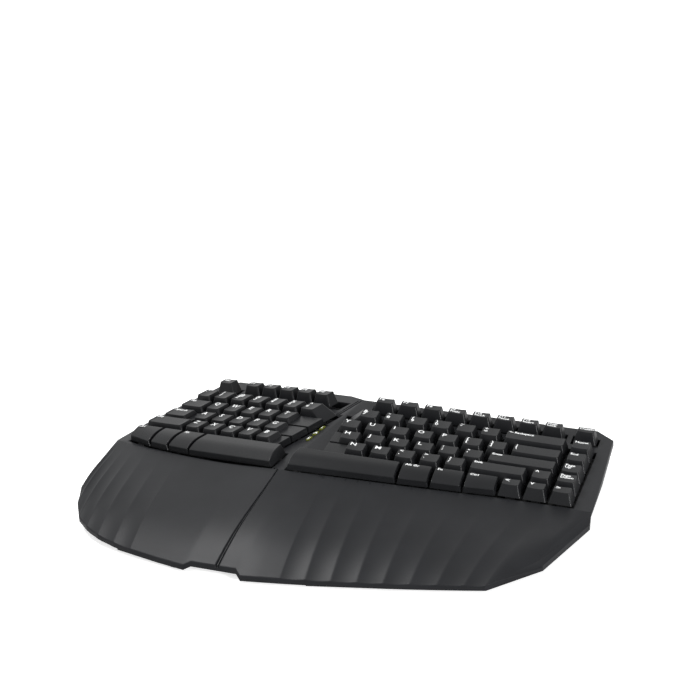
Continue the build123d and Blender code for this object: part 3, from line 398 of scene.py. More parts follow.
def dress(obj, material):
    """Give a piece its one material."""
    obj.data.materials.clear()
    obj.data.materials.append(material)


def field_frame(half):
    """Matrix of a key field: x along the rows, y to the rear, z out of the cover."""
    side = SIDE[half]
    reach, forward = FIELD_START[half]
    rise, flat = math.sin(TENT), math.cos(TENT)
    origin = Vector((side * reach * flat - CENTRE[0], forward - CENTRE[1], RIDGE - reach * rise))
    along = Vector((math.cos(SPLIT) * flat, side * math.sin(SPLIT), -side * math.cos(SPLIT) * rise))
    out = Vector((side * rise, 0, flat))
    ahead = out.cross(along)
    matrix = Matrix((along, ahead, out)).transposed().to_4x4()
    matrix.translation = origin * MM
    return matrix


def new_material(name):
    """A node material with its nodes, links and shader."""
    material = bpy.data.materials.new(name)
    material.use_nodes = True
    nodes, links = material.node_tree.nodes, material.node_tree.links
    return material, nodes, links, nodes["Principled BSDF"]


def add(nodes, kind, **values):
    """Add a node, with its settings."""
    node = nodes.new(kind)
    for key, value in values.items():
        setattr(node, key, value)
    return node


def noise(nodes, links, scale, detail=2.0, roughness=0.5, stretch=None):
    """Value of a noise in the piece's own space."""
    place = add(nodes, "ShaderNodeTexCoord").outputs["Object"]
    if stretch:
        mapping = add(nodes, "ShaderNodeMapping")
        mapping.inputs["Scale"].default_value = stretch
        links.new(place, mapping.inputs["Vector"])
        place = mapping.outputs["Vector"]
    cloud = add(nodes, "ShaderNodeTexNoise")
    cloud.inputs["Scale"].default_value = scale
    cloud.inputs["Detail"].default_value = detail
    cloud.inputs["Roughness"].default_value = roughness
    links.new(place, cloud.inputs["Vector"])
    return cloud.outputs["Fac"]


def tinted(nodes, links, value, colour, low, high, ends=(0, 1)):
    """A colour that goes from a darker to a lighter share of itself with a value."""
    ramp = add(nodes, "ShaderNodeValToRGB")
    for stop, position, share in zip(ramp.color_ramp.elements, ends, (low, high)):
        stop.position = position
        stop.color = (*[min(1, c * share) for c in colour], 1)
    links.new(value, ramp.inputs["Fac"])
    return ramp.outputs["Color"]


def ranged(nodes, links, value, low, high):
    """A value stretched between two others."""
    level = add(nodes, "ShaderNodeMapRange")
    level.inputs["To Min"].default_value = low
    level.inputs["To Max"].default_value = high
    links.new(value, level.inputs["Value"])
    return level.outputs["Result"]


def moulded_plastic(name, colour, rough, grain_size, grain_depth, spread=0.12, shine=0.25):
    """Moulded plastic: a fine spark-eroded grain in the bump, with slow changes in colour and gloss."""
    material, nodes, links, shader = new_material(name)
    grain = noise(nodes, links, 1 / (grain_size * MM), detail=3.0, roughness=0.6)
    slow = noise(nodes, links, SLOW_GRAIN)
    base = tinted(nodes, links, slow, colour, 1 - spread, 1 + spread, (0.3, 0.7))
    links.new(base, shader.inputs["Base Color"])
    uneven = ranged(nodes, links, grain, rough - PLASTIC_UNEVEN, rough + PLASTIC_UNEVEN)
    links.new(uneven, shader.inputs["Roughness"])
    bump = add(nodes, "ShaderNodeBump")
    bump.inputs["Strength"].default_value = 1.0
    bump.inputs["Distance"].default_value = grain_depth * MM
    links.new(grain, bump.inputs["Height"])
    links.new(bump.outputs["Normal"], shader.inputs["Normal"])
    shader.inputs["Specular IOR Level"].default_value = shine
    return material


def brushed_sheet(name, colour, rough):
    """Rolled steel sheet with fine lines along it."""
    material, nodes, links, shader = new_material(name)
    lines = noise(nodes, links, 1.0, stretch=ROLLED_GRAIN)
    uneven = ranged(nodes, links, lines, rough - STEEL_UNEVEN, rough + STEEL_UNEVEN)
    links.new(uneven, shader.inputs["Roughness"])
    shader.inputs["Base Color"].default_value = (*colour, 1)
    shader.inputs["Metallic"].default_value = 1.0
    return material


def lamp_plastic(name, colour):
    """Coloured window with a little light behind it, in slightly uneven plastic."""
    material, nodes, links, shader = new_material(name)
    base = tinted(nodes, links, noise(nodes, links, LAMP_GRAIN), colour, 0.8, 1.15)
    links.new(base, shader.inputs["Base Color"])
    links.new(base, shader.inputs["Emission Color"])
    shader.inputs["Emission Strength"].default_value = 0.35
    shader.inputs["Roughness"].default_value = 0.15
    return material


def ink(name, colour):
    """Printed white of the key letters, slightly uneven."""
    material, nodes, links, shader = new_material(name)
    base = tinted(nodes, links, noise(nodes, links, INK_GRAIN), colour, 0.9, 1)
    links.new(base, shader.inputs["Base Color"])
    shader.inputs["Roughness"].default_value = 0.55
    return material


def material_of(name):
    """The material of that name, made when first asked for."""
    if name in bpy.data.materials:
        return bpy.data.materials[name]
    s = settings()
    # After a plastic's colour: its roughness, then the size and depth of its grain in millimetres
    makers = {
        "cap_plastic": lambda: moulded_plastic(name, s.cap_colour, 0.29, 0.22, 0.012, shine=0.13),
        "cover_plastic": lambda: moulded_plastic(name, s.cover_colour, 0.38, 0.3, 0.012, shine=0.1),
        "case_plastic": lambda: moulded_plastic(name, s.case_colour, 0.5, 0.35, 0.02),
        "plate_plastic": lambda: moulded_plastic(name, (0.012, 0.012, 0.013), 0.5, 0.5, 0.01),
        "dome_rubber": lambda: moulded_plastic(name, (0.55, 0.56, 0.54), 0.5, 0.4, 0.01),
        "film": lambda: moulded_plastic(name, (0.45, 0.5, 0.48), 0.25, 0.8, 0.004),
        "pad_rubber": lambda: moulded_plastic(name, (0.012, 0.012, 0.012), 0.8, 0.4, 0.03),
        "board_lacquer": lambda: moulded_plastic(name, (0.01, 0.09, 0.04), 0.3, 0.8, 0.01, spread=0.3),
        "steel_sheet": lambda: brushed_sheet(name, (0.5, 0.51, 0.52), 0.35),
        "screw_steel": lambda: brushed_sheet(name, (0.35, 0.35, 0.36), 0.3),
        "lamp_window": lambda: lamp_plastic(name, (0.09, 0.1, 0.012)),
        "letter_ink": lambda: ink(name, s.letter_colour),
    }
    return makers[name]()


def deck_point(x, y):
    """Point of the tented deck above a plan point in shares of the pitch."""
    return Vector((x * PITCH, y * PITCH, RIDGE - math.tan(TENT) * abs(x * PITCH)))


def crease_point(x):
    """Point where the deck breaks into the palm rest."""
    line = (SHOULDERS[0],) + CREASES + (SHOULDERS[1],)
    for start, end in zip(line, line[1:]):
        if x <= end[0] or end is line[-1]:
            share = (x - start[0]) / (end[0] - start[0])
            return deck_point(x, start[1] + share * (end[1] - start[1]))


def rim_point(x, y, lift=0):
    """Point of the palm rest's upper rim at a plan point in shares of the pitch."""
    return Vector((x * PITCH, y * PITCH, RIM_TOP + lift * CORNER_LIFT))


def palm_ridges():
    """Ridge lines of the palm rest: crease x, rim point, and whether a flute follows."""
    rows = []
    for k, (crease, x, y, lift) in enumerate(LEFT_RIM):
        rows.append((crease, rim_point(x, y, lift), k < FLUTED_ON_LEFT))
    (x0, y0), (x1, y1) = FRONT_ENDS
    for k, share in enumerate(FRONT_SHARES):
        crease = FRONT_CREASE[0] + share ** FRONT_FAN * (FRONT_CREASE[1] - FRONT_CREASE[0])
        bow = 4 * FRONT_BOW * share * (1 - share)
        rim = rim_point(x0 + share * (x1 - x0), y0 + share * (y1 - y0) - bow)
        rows.append((crease, rim, PLAIN_AT_FRONT <= k < len(FRONT_SHARES) - 1))
    for crease, x, y, lift in FACET:
        rows.append((crease, rim_point(x, y, lift), False))
    return rows


def palm_columns():
    """Columns of the palm rest: crease point, rim point, flute depth, rim rounding, seam depth."""
    left, right = deck_point(*SHOULDERS[0]), deck_point(*SHOULDERS[1])
    rows = palm_ridges()
    last_round = len(rows) - 1 - len(FACET)
    flute_depth = settings().flute_depth / MM
    columns = [(left, left, 0, 0, 0)]
    for k, (crease, rim, fluted) in enumerate(rows):
        round_here = RIM_ROUND if k < last_round else 0
        if crease == 0.0:
            for offset, depth in SEAM_PROFILE:
                shift = Vector((offset, 0, 0))
                columns.append((crease_point(0) + shift * SEAM_TAPER, rim + shift, 0, round_here, depth))
        else:
            columns.append((crease_point(crease), rim, 0, round_here, 0))
        if k + 1 == len(rows):
            break
        after_crease, after, _ = rows[k + 1]
        after_round = RIM_ROUND if k + 1 < last_round else 0
        middle = crease_point((crease + after_crease) / 2)
        steps = FLUTE_COLUMNS if fluted else 1
        for step in range(1, steps):
            share = step / steps
            if share <= 0.5:
                top = crease_point(crease).lerp(middle, 2 * share)
            else:
                top = middle.lerp(crease_point(after_crease), 2 * share - 1)
            depth = flute_depth * (1 - (2 * share - 1) ** 2)
            rounding = round_here + (after_round - round_here) * share
            columns.append((top, rim.lerp(after, share), depth, rounding, 0))
    columns.append((right, right, 0, 0, 0))
    return columns


def palm_column(crease, rim, depth, rounding, seam):
    """Points of one column, from the crease over the crown and the rounded rim to the foot of the rim."""
    flat = Vector((rim.x - crease.x, rim.y - crease.y, 0))
    run = flat.length
    end = 1 - rounding / run if run else 1
    fade_start, fade_run = FLUTE_FADE
    column = []
    for k in range(PALM_ROWS + 1):
        share = end * k / PALM_ROWS
        point = crease.lerp(rim, share)
        fade = min(1, max(0, (share - fade_start) / fade_run))
        fade = fade * fade * (3 - 2 * fade)
        point.z += PALM_CROWN * math.sin(math.pi * share ** CROWN_POWER) * run / PALM_RUN
        point.z -= depth * fade + seam
        column.append(point)
    edge = column[-1].copy()
    out = flat.normalized() if run else Vector()
    for turn in RIM_TURNS:
        angle = math.radians(turn)
        drop = rounding * (1 - math.cos(angle))
        column.append(edge + out * rounding * math.sin(angle) - Vector((0, 0, drop)))
    foot = rim.copy()
    foot.z = min(rim.z - RIM_DEPTH, column[-1].z)
    return column + [foot]


def palm_rest():
    """Fluted, crowned palm rest with its rounded rim, side and seam, as a fine skin."""
    mesh = bmesh.new()
    grid = []
    for values in palm_columns():
        column = [Vector((p.x - CENTRE[0], p.y - CENTRE[1], p.z)) * MM for p in palm_column(*values)]
        grid.append([mesh.verts.new(p) for p in column])
    facet_start = len(grid) - 1 - len(FACET) - 1
    for k, (near, after) in enumerate(zip(grid, grid[1:])):
        rows = len(near) - 1 if k < facet_start else PALM_ROWS
        for j in range(rows):
            mesh.faces.new((near[j], near[j + 1], after[j + 1], after[j]))
    bmesh.ops.remove_doubles(mesh, verts=mesh.verts, dist=SKIN_MERGE * MM)
    bmesh.ops.dissolve_degenerate(mesh, edges=mesh.edges, dist=SKIN_MERGE * MM)
    only(None)
    bpy.ops.mesh.primitive_plane_add(size=1)
    obj = bpy.context.object
    mesh.to_mesh(obj.data)
    mesh.free()
    return obj


def to_part(point):
    """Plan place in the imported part's own middle, in millimetres."""
    return point.x / MM + CENTRE[0], point.y / MM + CENTRE[1]


def before_crease(x, y):
    """How far a plan place lies in front of the crease, in millimetres."""
    return crease_point(x / PITCH).y - y


def near_line(x, y, start, end):
    """Distance of a plan place from a line between two points."""
    run = Vector((end[0] - start[0], end[1] - start[1]))
    offset = Vector((x - start[0], y - start[1]))
    share = min(1, max(0, offset.dot(run) / run.length_squared))
    return (offset - run * share).length


def facet_line():
    """Plan points of the edge between the palm rest and its corner facet, from the rear."""
    rows = [row[1] for row in palm_ridges()]
    return [deck_point(*SHOULDERS[1])] + rows[:-len(FACET) - 2:-1]


def right_of_facet(place, facet):
    """True for a plan place outside the line between the palm rest and its corner facet."""
    for a, b in zip(facet, facet[1:]):
        low, high = sorted((a[1], b[1]))
        if low <= place[1] <= high:
            share = (place[1] - a[1]) / (b[1] - a[1])
            return place[0] > a[0] + share * (b[0] - a[0]) + PLAY
    return False


def cover_skin():
    """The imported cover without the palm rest's top and rim, which the fine skin takes over."""
    obj = copy_of(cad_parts["top_cover"], "cover")
    edit(obj)
    bpy.ops.mesh.select_all(action="SELECT")
    bpy.ops.mesh.remove_doubles(threshold=MERGE * MM)
    rims = [deck_point(*SHOULDERS[0])] + [row[1] for row in palm_ridges()][:-len(FACET)]
    edges = list(zip(rims, rims[1:]))
    facet = facet_line()
    seam = [(x * PITCH, y * PITCH) for x, y in SEAM_LINE]

    def replaced_face(f):
        middle = f.calc_center_median()
        x, y = to_part(middle)
        places = [to_part(v.co) for v in f.verts]
        if f.normal.z > HALF_RISE and all(before_crease(*p) > -PLAY for p in places):
            return not any(p[0] > FACET_SIDE * PITCH and right_of_facet(p, facet) for p in places)
        if abs(f.normal.z) < WALL_RISE:
            if any(all(near_line(*p, a, b) < WALL_REACH for p in places) for a, b in edges):
                return True
        in_seam = near_line(x, y, *seam) < SEAM_REACH and middle.z > SEAM_FOOT * MM
        return in_seam and before_crease(x, y) > 0

    pick(obj, "FACE", replaced_face)
    bpy.ops.mesh.delete(type="FACE")
    only(obj)
    return obj


def deck_edge(e):
    """True on an edge of the deck, at a well or round the outside, and on the corner facet's upper edge."""
    if len(e.link_faces) != 2:
        return False
    line = facet_line()
    places = [to_part(v.co) for v in e.verts]
    if any(all(near_line(*p, a, b) < FACET_REACH for p in places) for a, b in zip(line[1:], line[2:])):
        return min(v.co.z for v in e.verts) > (RIM_TOP - RIM_PLAY) * MM
    rises = sorted(abs(f.normal.z) for f in e.link_faces)
    highest = max(f.normal.z for f in e.link_faces)
    if rises[0] > HALF_RISE or rises[1] < LEVEL_RISE or highest < LEVEL_RISE:
        return False
    for v in e.verts:
        x, y = to_part(v.co)
        off_deck = abs(v.co.z / MM - deck_point(x / PITCH, y / PITCH).z)
        if off_deck > PLAY or before_crease(x, y) > -CREASE_REACH:
            return False
    return True


def cap_rim(e):
    """True on an edge between a cap's top and its sides."""
    if len(e.link_faces) != 2:
        return False
    rises = sorted(f.normal.z for f in e.link_faces)
    return rises[1] > CAP_TOP_RISE and rises[0] < FLAT_RISE


def cap_shell():
    """Square cap of one pitch: tapered, dished from side to side, with rounded corners and open below."""
    half = (PITCH - CAP_GAP) / 2
    top = PITCH / 2 - CAP_INSET
    obj = block("cap_master", (-half, -half, CAP_FOOT), (half, half, CAP_HEIGHT))
    edit(obj)
    pick(obj, "FACE", lambda f: f.normal.z > FLAT_RISE)
    bpy.ops.transform.resize(value=(top / half, top / half, 1))
    pick(obj, "EDGE", upright)
    bpy.ops.mesh.bevel(offset=CAP_CORNER * MM, segments=3, affect="EDGES")
    columns = [share * top for share in CAP_DISH_COLUMNS]
    for x in columns:
        bpy.ops.mesh.select_all(action="SELECT")
        bpy.ops.mesh.bisect(plane_co=(x * MM, 0, 0), plane_no=(1, 0, 0))
    top_level = (CAP_HEIGHT - TOP_PLAY) * MM
    for x in columns:
        pick(obj, "VERT", lambda v: v.co.z > top_level and abs(v.co.x - x * MM) < COLUMN_PLAY * MM)
        bpy.ops.transform.translate(value=(0, 0, -CAP_DISH * (1 - (x / top) ** 2) * MM))
    pick(obj, "EDGE", cap_rim)
    bpy.ops.mesh.bevel(offset=CAP_RIM_ROUND * MM, segments=2, affect="EDGES")
    drop_bottom(obj)
    return obj


def hollowed(obj):
    """Give a cap its wall, inwards."""
    only(obj)
    wall = obj.modifiers.new("wall", "SOLIDIFY")
    wall.thickness = CAP_WALL * MM
    wall.offset = -1
    bpy.ops.object.modifier_apply(modifier=wall.name)


def moved(obj, test, by):
    """Move the vertices that pass a test."""
    edit(obj)
    if pick(obj, "VERT", test):
        bpy.ops.transform.translate(value=[v * MM for v in by])
    only(obj)


def posts(x, y, width, top):
    """Posts below a cap: one at its middle, and one more near each end of a wide cap."""
    offsets = [0]
    if width > WIDE_CAP * PITCH:
        offsets += [-(width - PITCH) / 2, (width - PITCH) / 2]
    half = POST / 2
    return [
        block("post", (x + dx - half, y - half, -POST_DEPTH), (x + dx + half, y + half, top))
        for dx in offsets
    ]


def ledge(far, width, deep):
    """Low shelf beside a cap, out to a distance from the cap's middle, on the side that its sign gives."""
    side = 1 if far > 0 else -1
    inner = side * (width / 2 - CAP_INSET)
    outer = far - side * CAP_GAP / 2
    depth = (deep - CAP_GAP) / 2
    shelf = block("shelf", (min(inner, outer), -depth, CAP_FOOT), (max(inner, outer), depth, LEDGE_HEIGHT))
    edit(shelf)
    pick(shelf, "FACE", lambda f: f.normal.z > FLAT_RISE)
    bpy.ops.transform.resize(value=(1, LEDGE_TAPER, 1))
    pick(shelf, "EDGE", lambda e: max(v.co.z for v in e.verts) > (LEDGE_HEIGHT - TOP_PLAY) * MM)
    bpy.ops.mesh.bevel(offset=LEDGE_ROUND * MM, segments=2, affect="EDGES")
    drop_bottom(shelf)
    hollowed(shelf)
    return shelf


def square_cap(master, row, left, right, far_edge):
    """Copy of the master cap at a key's width, depth and height, with its ledge and posts."""
    front, rear, lift = ROWS[row]
    width, deep = (right - left) * PITCH, (rear - front) * PITCH
    x, y = (left + right) / 2 * PITCH, (front + rear) / 2 * PITCH
    height = CAP_HEIGHT * (1 + lift)
    middle = CAP_HEIGHT / 2 * MM
    cap = copy_of(master, "cap")
    for axis, grow in ((0, width - PITCH), (1, deep - PITCH)):
        if abs(grow) > SIZE_PLAY:
            step = [0, 0, 0]
            step[axis] = grow / 2
            moved(cap, lambda v: v.co[axis] > MIDDLE_PLAY * MM, step)
            step[axis] = -grow / 2
            moved(cap, lambda v: v.co[axis] < -MIDDLE_PLAY * MM, step)
    if lift:
        moved(cap, lambda v: v.co.z > middle, (0, 0, CAP_HEIGHT * lift))
    if row == "function":
        moved(cap, lambda v: v.co.z > middle and v.co.y > 0, (0, CAP_INSET - SHALLOW_REAR_INSET, 0))
    slanted = row == "number" and far_edge is not None
    if slanted:
        grown = (far_edge - right if far_edge > right else far_edge - left) * PITCH
        moved(cap, lambda v: v.co.z < middle and v.co.x * grown > 0, (grown, 0, 0))
    hollowed(cap)
    parts = [cap] + posts(0, 0, width, height - CAP_WALL)
    if far_edge is not None and not slanted:
        parts.append(ledge(far_edge * PITCH - x, width, deep))
    cap = joined(parts, "cap")
    return placed(cap, Matrix.Translation((x * MM, y * MM, 0)))


def roll_height(depth):
    """Height of a rolled cap's top at a distance behind its front edge."""
    if depth >= ROLL_DEPTH:
        return CAP_HEIGHT
    share = depth / ROLL_DEPTH
    return ROLL_FACE + (CAP_HEIGHT - ROLL_FACE) * (1 - (1 - share) ** ROLL_POWER)


def roll_rim(e):
    """True on a sharp edge round a rolled cap's top."""
    if len(e.link_faces) != 2 or e.link_faces[0].normal.angle(e.link_faces[1].normal) <= SHARP:
        return False
    highest = max(f.normal.z for f in e.link_faces)
    return min(v.co.z for v in e.verts) > ROLL_RIM_FOOT * MM and highest > HALF_RISE


def rolled_cap(corners):
    """Deep cap with a steep front and a top that rolls up to the rear."""
    rear_left, rear_right, front_right, front_left = [Vector((x * PITCH, y * PITCH, 0)) for x, y in corners]
    gap = CAP_GAP / 2
    obj = block("rolled_cap", (-1, -1, 0), (1, 1, 1))
    mesh = bmesh.new()
    mesh.from_mesh(obj.data)
    for v in mesh.verts:
        right, rear, high = v.co.x > 0, v.co.y > 0, v.co.z > 0.5 * MM
        base = (rear_right if right else rear_left) if rear else (front_right if right else front_left)
        side = -1 if right else 1
        ahead = -1 if rear else 1
        if high:
            inset = Vector((side * ROLL_SIDE_INSET, ahead * (CAP_INSET if rear else gap), CAP_HEIGHT))
        else:
            inset = Vector((side * gap, ahead * gap, CAP_FOOT))
        v.co = (base + inset) * MM
    mesh.to_mesh(obj.data)
    mesh.free()
    run = (front_right - front_left).normalized()
    inward = Vector((-run.y, run.x, 0))
    start = front_left + inward * gap
    edit(obj)
    pick(obj, "EDGE", upright)
    bpy.ops.mesh.bevel(offset=ROLL_CORNER * MM, segments=2, affect="EDGES")
    for depth in ROLL_CUTS:
        bpy.ops.mesh.select_all(action="SELECT")
        bpy.ops.mesh.bisect(plane_co=(start + inward * depth) * MM, plane_no=inward)
    mesh = bmesh.from_edit_mesh(obj.data)
    for v in mesh.verts:
        depth = (v.co / MM - start).dot(inward)
        if v.co.z > (CAP_HEIGHT - TOP_PLAY) * MM:
            v.co.z = roll_height(max(depth, 0)) * MM
    bmesh.update_edit_mesh(obj.data)
    bpy.ops.mesh.select_all(action="SELECT")
    bpy.ops.mesh.normals_make_consistent(inside=False)
    pick(obj, "EDGE", roll_rim)
    bpy.ops.mesh.bevel(offset=CAP_RIM_ROUND * MM, segments=2, affect="EDGES")
    drop_bottom(obj)
    hollowed(obj)
    left = max(front_left.x, rear_left.x)
    right = min(front_right.x, rear_right.x)
    y = ((front_left.y + front_right.y) / 2 + rear_left.y) / 2
    parts = [obj] + posts((left + right) / 2, y, right - left, CAP_HEIGHT - ROLL_POST_DROP)
    return joined(parts, "cap")


def lettering(text, size, left, top, surface):
    """Printed letters as a flat mesh, from their upper left, at the height that the surface has across."""
    only(None)
    bpy.ops.object.text_add()
    obj = bpy.context.object
    obj.data.body = text
    obj.data.size = size * MM
    obj.data.space_line = LINE_SPACE
    obj.data.resolution_u = 2
    obj.data.offset = LETTER_WEIGHT * MM
    bpy.ops.object.convert(target="MESH")
    obj = bpy.context.object
    mesh = obj.data
    peak = max(v.co.y for v in mesh.vertices)
    for v in mesh.vertices:
        v.co.x += left * MM
        v.co.y += top * MM - peak
        v.co.z = surface(v.co.x / MM) * MM
    return obj


def letter_size(row, lines):
    """Height of a cap's letters, by its row and what they say."""
    longest = max(len(line) for line in lines)
    if row == "function":
        return LETTER_SIZES["function"][len(lines) > 1]
    if longest == 1:
        return LETTER_SIZES["sign"][len(lines) > 1]
    return LETTER_SIZES["word"][longest > SHORT_WORD]


def cap_letters(row, left, right, text):
    """Letters at the upper left of a cap."""
    front, rear, lift = ROWS[row]
    x, y = (left + right) / 2 * PITCH, (front + rear) / 2 * PITCH
    reach = (right - left) / 2 * PITCH - CAP_INSET
    depth = (rear - front) / 2 * PITCH - CAP_INSET
    height = CAP_HEIGHT * (1 + lift)
    if row == "function":
        depth += CAP_INSET - SHALLOW_REAR_INSET

    def surface(px):
        share = min(1, abs(px - x) / reach)
        return height - CAP_DISH * (1 - share ** 2) + INK_LIFT

    beside, below = LETTER_MARGIN
    size = letter_size(row, text.split("\n"))
    return lettering(text, size, x - reach + beside, y + depth - below, surface)


def rolled_letters(corners, text):
    """Letters at the upper left of a rolled cap."""
    size, right, down = ROLL_LETTERS
    left, rear = corners[0][0] * PITCH, corners[0][1] * PITCH
    return lettering(text, size, left + right, rear - down, lambda x: CAP_HEIGHT + INK_LIFT)


def softened(node, name, width, material, slot, body):
    """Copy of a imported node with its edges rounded, riding its body in the node's place."""
    obj = copy_of(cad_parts[node], name)
    edit(obj)
    bpy.ops.mesh.select_all(action="SELECT")
    bpy.ops.mesh.remove_doubles(threshold=MERGE * MM)
    bpy.ops.mesh.dissolve_limited(angle_limit=math.radians(1))
    only(obj)
    bevel = obj.modifiers.new("edges", "BEVEL")
    bevel.width = width * MM
    bevel.segments = 2
    bevel.limit_method = "ANGLE"
    bevel.angle_limit = math.radians(ROUND_ANGLE)
    bevel.use_clamp_overlap = True
    bpy.ops.object.modifier_apply(modifier=bevel.name)
    smooth(obj, SMOOTH_ANGLE)
    dress(obj, material_of(material))
    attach(obj, body)
    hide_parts(node)


def seen_directly(nodes, links):
    """Value that is one for rays from the camera, and for those that mirror or pass through something."""
    path = add(nodes, "ShaderNodeLightPath")
    value = path.outputs["Is Camera Ray"]
    for name in ("Is Glossy Ray", "Is Transmission Ray"):
        either = add(nodes, "ShaderNodeMath", operation="MAXIMUM")
        links.new(value, either.inputs[0])
        links.new(path.outputs[name], either.inputs[1])
        value = either.outputs[0]
    return value


def mixed(nodes, links, value, first, second):
    """Shader that goes from the first to the second with a value."""
    mix = add(nodes, "ShaderNodeMixShader")
    links.new(value, mix.inputs[0])
    links.new(first.outputs[0], mix.inputs[1])
    links.new(second.outputs[0], mix.inputs[2])
    return mix


def glowing(nodes, strength):
    """White light of a strength."""
    glow = add(nodes, "ShaderNodeEmission")
    glow.inputs["Strength"].default_value = strength
    return glow


def floor_white():
    """Plain white floor that keeps the object's shadow and is clear from below."""
    material, nodes, links, shader = new_material("floor")
    shader.inputs["Base Color"].default_value = (0.8, 0.8, 0.8, 1)
    shader.inputs["Roughness"].default_value = 0.6
    mirrored = mixed(nodes, links, seen_directly(nodes, links), shader, glowing(nodes, 1.0))
    lifted = add(nodes, "ShaderNodeAddShader")
    links.new(shader.outputs[0], lifted.inputs[0])
    links.new(glowing(nodes, FLOOR_GLOW).outputs[0], lifted.inputs[1])
    camera_ray = add(nodes, "ShaderNodeLightPath").outputs["Is Camera Ray"]
    above = mixed(nodes, links, camera_ray, mirrored, lifted)
    below = add(nodes, "ShaderNodeNewGeometry").outputs["Backfacing"]
    both = mixed(nodes, links, below, above, add(nodes, "ShaderNodeBsdfTransparent"))
    links.new(both.outputs[0], nodes["Material Output"].inputs["Surface"])
    return material


def studio_world():
    """White world, at a lower level for the light that it gives the object."""
    world = bpy.data.worlds.new("studio")
    world.use_nodes = True
    nodes, links = world.node_tree.nodes, world.node_tree.links
    ground = nodes["Background"]
    ground.inputs["Color"].default_value = (1, 1, 1, 1)
    level = ranged(nodes, links, seen_directly(nodes, links), WORLD_LEVEL, 1.0)
    links.new(level, ground.inputs["Strength"])
    return world


def studio_lamp(name, place, aim, size, power):
    """Soft lamp at a place, turned to its aim."""
    only(None)
    bpy.ops.object.light_add(type="AREA", location=place)
    lamp = bpy.context.object
    lamp.name = name
    lamp.data.shape = "RECTANGLE"
    lamp.data.size, lamp.data.size_y = size
    lamp.data.energy = power
    lamp.rotation_euler = (Vector(aim) - Vector(place)).to_track_quat("-Z", "Y").to_euler()


def photo_camera():
    """Camera at the photograph's place and angle."""
    only(None)
    bpy.ops.object.camera_add()
    camera = bpy.context.object
    camera.data.lens = CAMERA_LENS
    camera.data.sensor_width = CAMERA_SENSOR
    camera.data.sensor_fit = "AUTO"
    camera.data.clip_end = CAMERA_REACH
    right = Vector(CAMERA_RIGHT).normalized()
    forward = Vector(CAMERA_FORWARD).normalized()
    matrix = Matrix((right, right.cross(forward), -forward)).transposed().to_4x4()
    x, y, z = CAMERA_PLACE
    matrix.translation = Vector((x - CENTRE[0] * MM, y - CENTRE[1] * MM, z))
    camera.matrix_world = matrix
    return camera


def colour_choice(name, description, colour):
    """A colour that the user can change."""
    return bpy.props.FloatVectorProperty(
        name=name, description=description, subtype="COLOR", default=colour, min=0, max=1)


class KEYBOARD_PG_sizes(bpy.types.PropertyGroup):
    """Colours and sizes that a user would change"""
    cap_colour: colour_choice("Cap colour", "Colour of the keycaps", (0.010, 0.0104, 0.0114))
    cover_colour: colour_choice("Cover colour", "Colour of the cover", (0.0125, 0.013, 0.0145))
    case_colour: colour_choice("Case colour", "Colour of the bottom case", (0.009, 0.009, 0.0095))
    letter_colour: colour_choice("Letter colour", "Colour of the printed letters", (0.86, 0.87, 0.87))
    flute_depth: bpy.props.FloatProperty(
        name="Flute depth", description="Depth of the flutes in the palm rest", unit="LENGTH",
        default=FLUTE_DEPTH * MM, min=0, max=2 * MM)


class KEYBOARD_OT_cover(bpy.types.Operator):
    """Model the moulded cover with its fluted palm rest"""
    bl_idname = "keyboard.cover"
    bl_label = "Cover and palm rest"

    def execute(self, context):
        cover = joined([cover_skin(), palm_rest()], "cover")
        edit(cover)
        bpy.ops.mesh.select_all(action="SELECT")
        bpy.ops.mesh.remove_doubles(threshold=COVER_MERGE * MM)
        pick(cover, "EDGE", deck_edge)
        bpy.ops.mesh.bevel(offset=DECK_EDGE_ROUND * MM, segments=2, affect="EDGES", clamp_overlap=True)
        only(cover)
        smooth(cover, SMOOTH_ANGLE)
        dress(cover, material_of("cover_plastic"))
        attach(cover, "frame")
        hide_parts("top_cover")
        return {"FINISHED"}


class KEYBOARD_OT_base(bpy.types.Operator):
    """Round the edges of the case, feet, pads and cord bush"""
    bl_idname = "keyboard.base"
    bl_label = "Case, feet and pads"

    def execute(self, context):
        for values in ROUNDED:
            softened(*values)
        return {"FINISHED"}


class KEYBOARD_OT_lamps(bpy.types.Operator):
    """Print a white sign on each lamp window"""
    bl_idname = "keyboard.lamps"
    bl_label = "Lamp signs"

    def execute(self, context):
        signs = []
        along = Vector((math.cos(TENT), 0, math.sin(TENT)))
        out = Vector((-math.sin(TENT), 0, math.cos(TENT)))
        for (x, y), text in zip(LAMPS, LAMP_SIGNS):
            sign = lettering(text, SIGN_SIZE, *SIGN_START, lambda px: SIGN_LIFT)
            matrix = Matrix((along, out.cross(along), out)).transposed().to_4x4()
            place = deck_point(x, y)
            matrix.translation = Vector((place.x - CENTRE[0], place.y - CENTRE[1], place.z)) * MM
            signs.append(placed(sign, matrix))
        signs = joined(signs, "lamp_signs")
        dress(signs, material_of("letter_ink"))
        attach(signs, "frame")
        return {"FINISHED"}


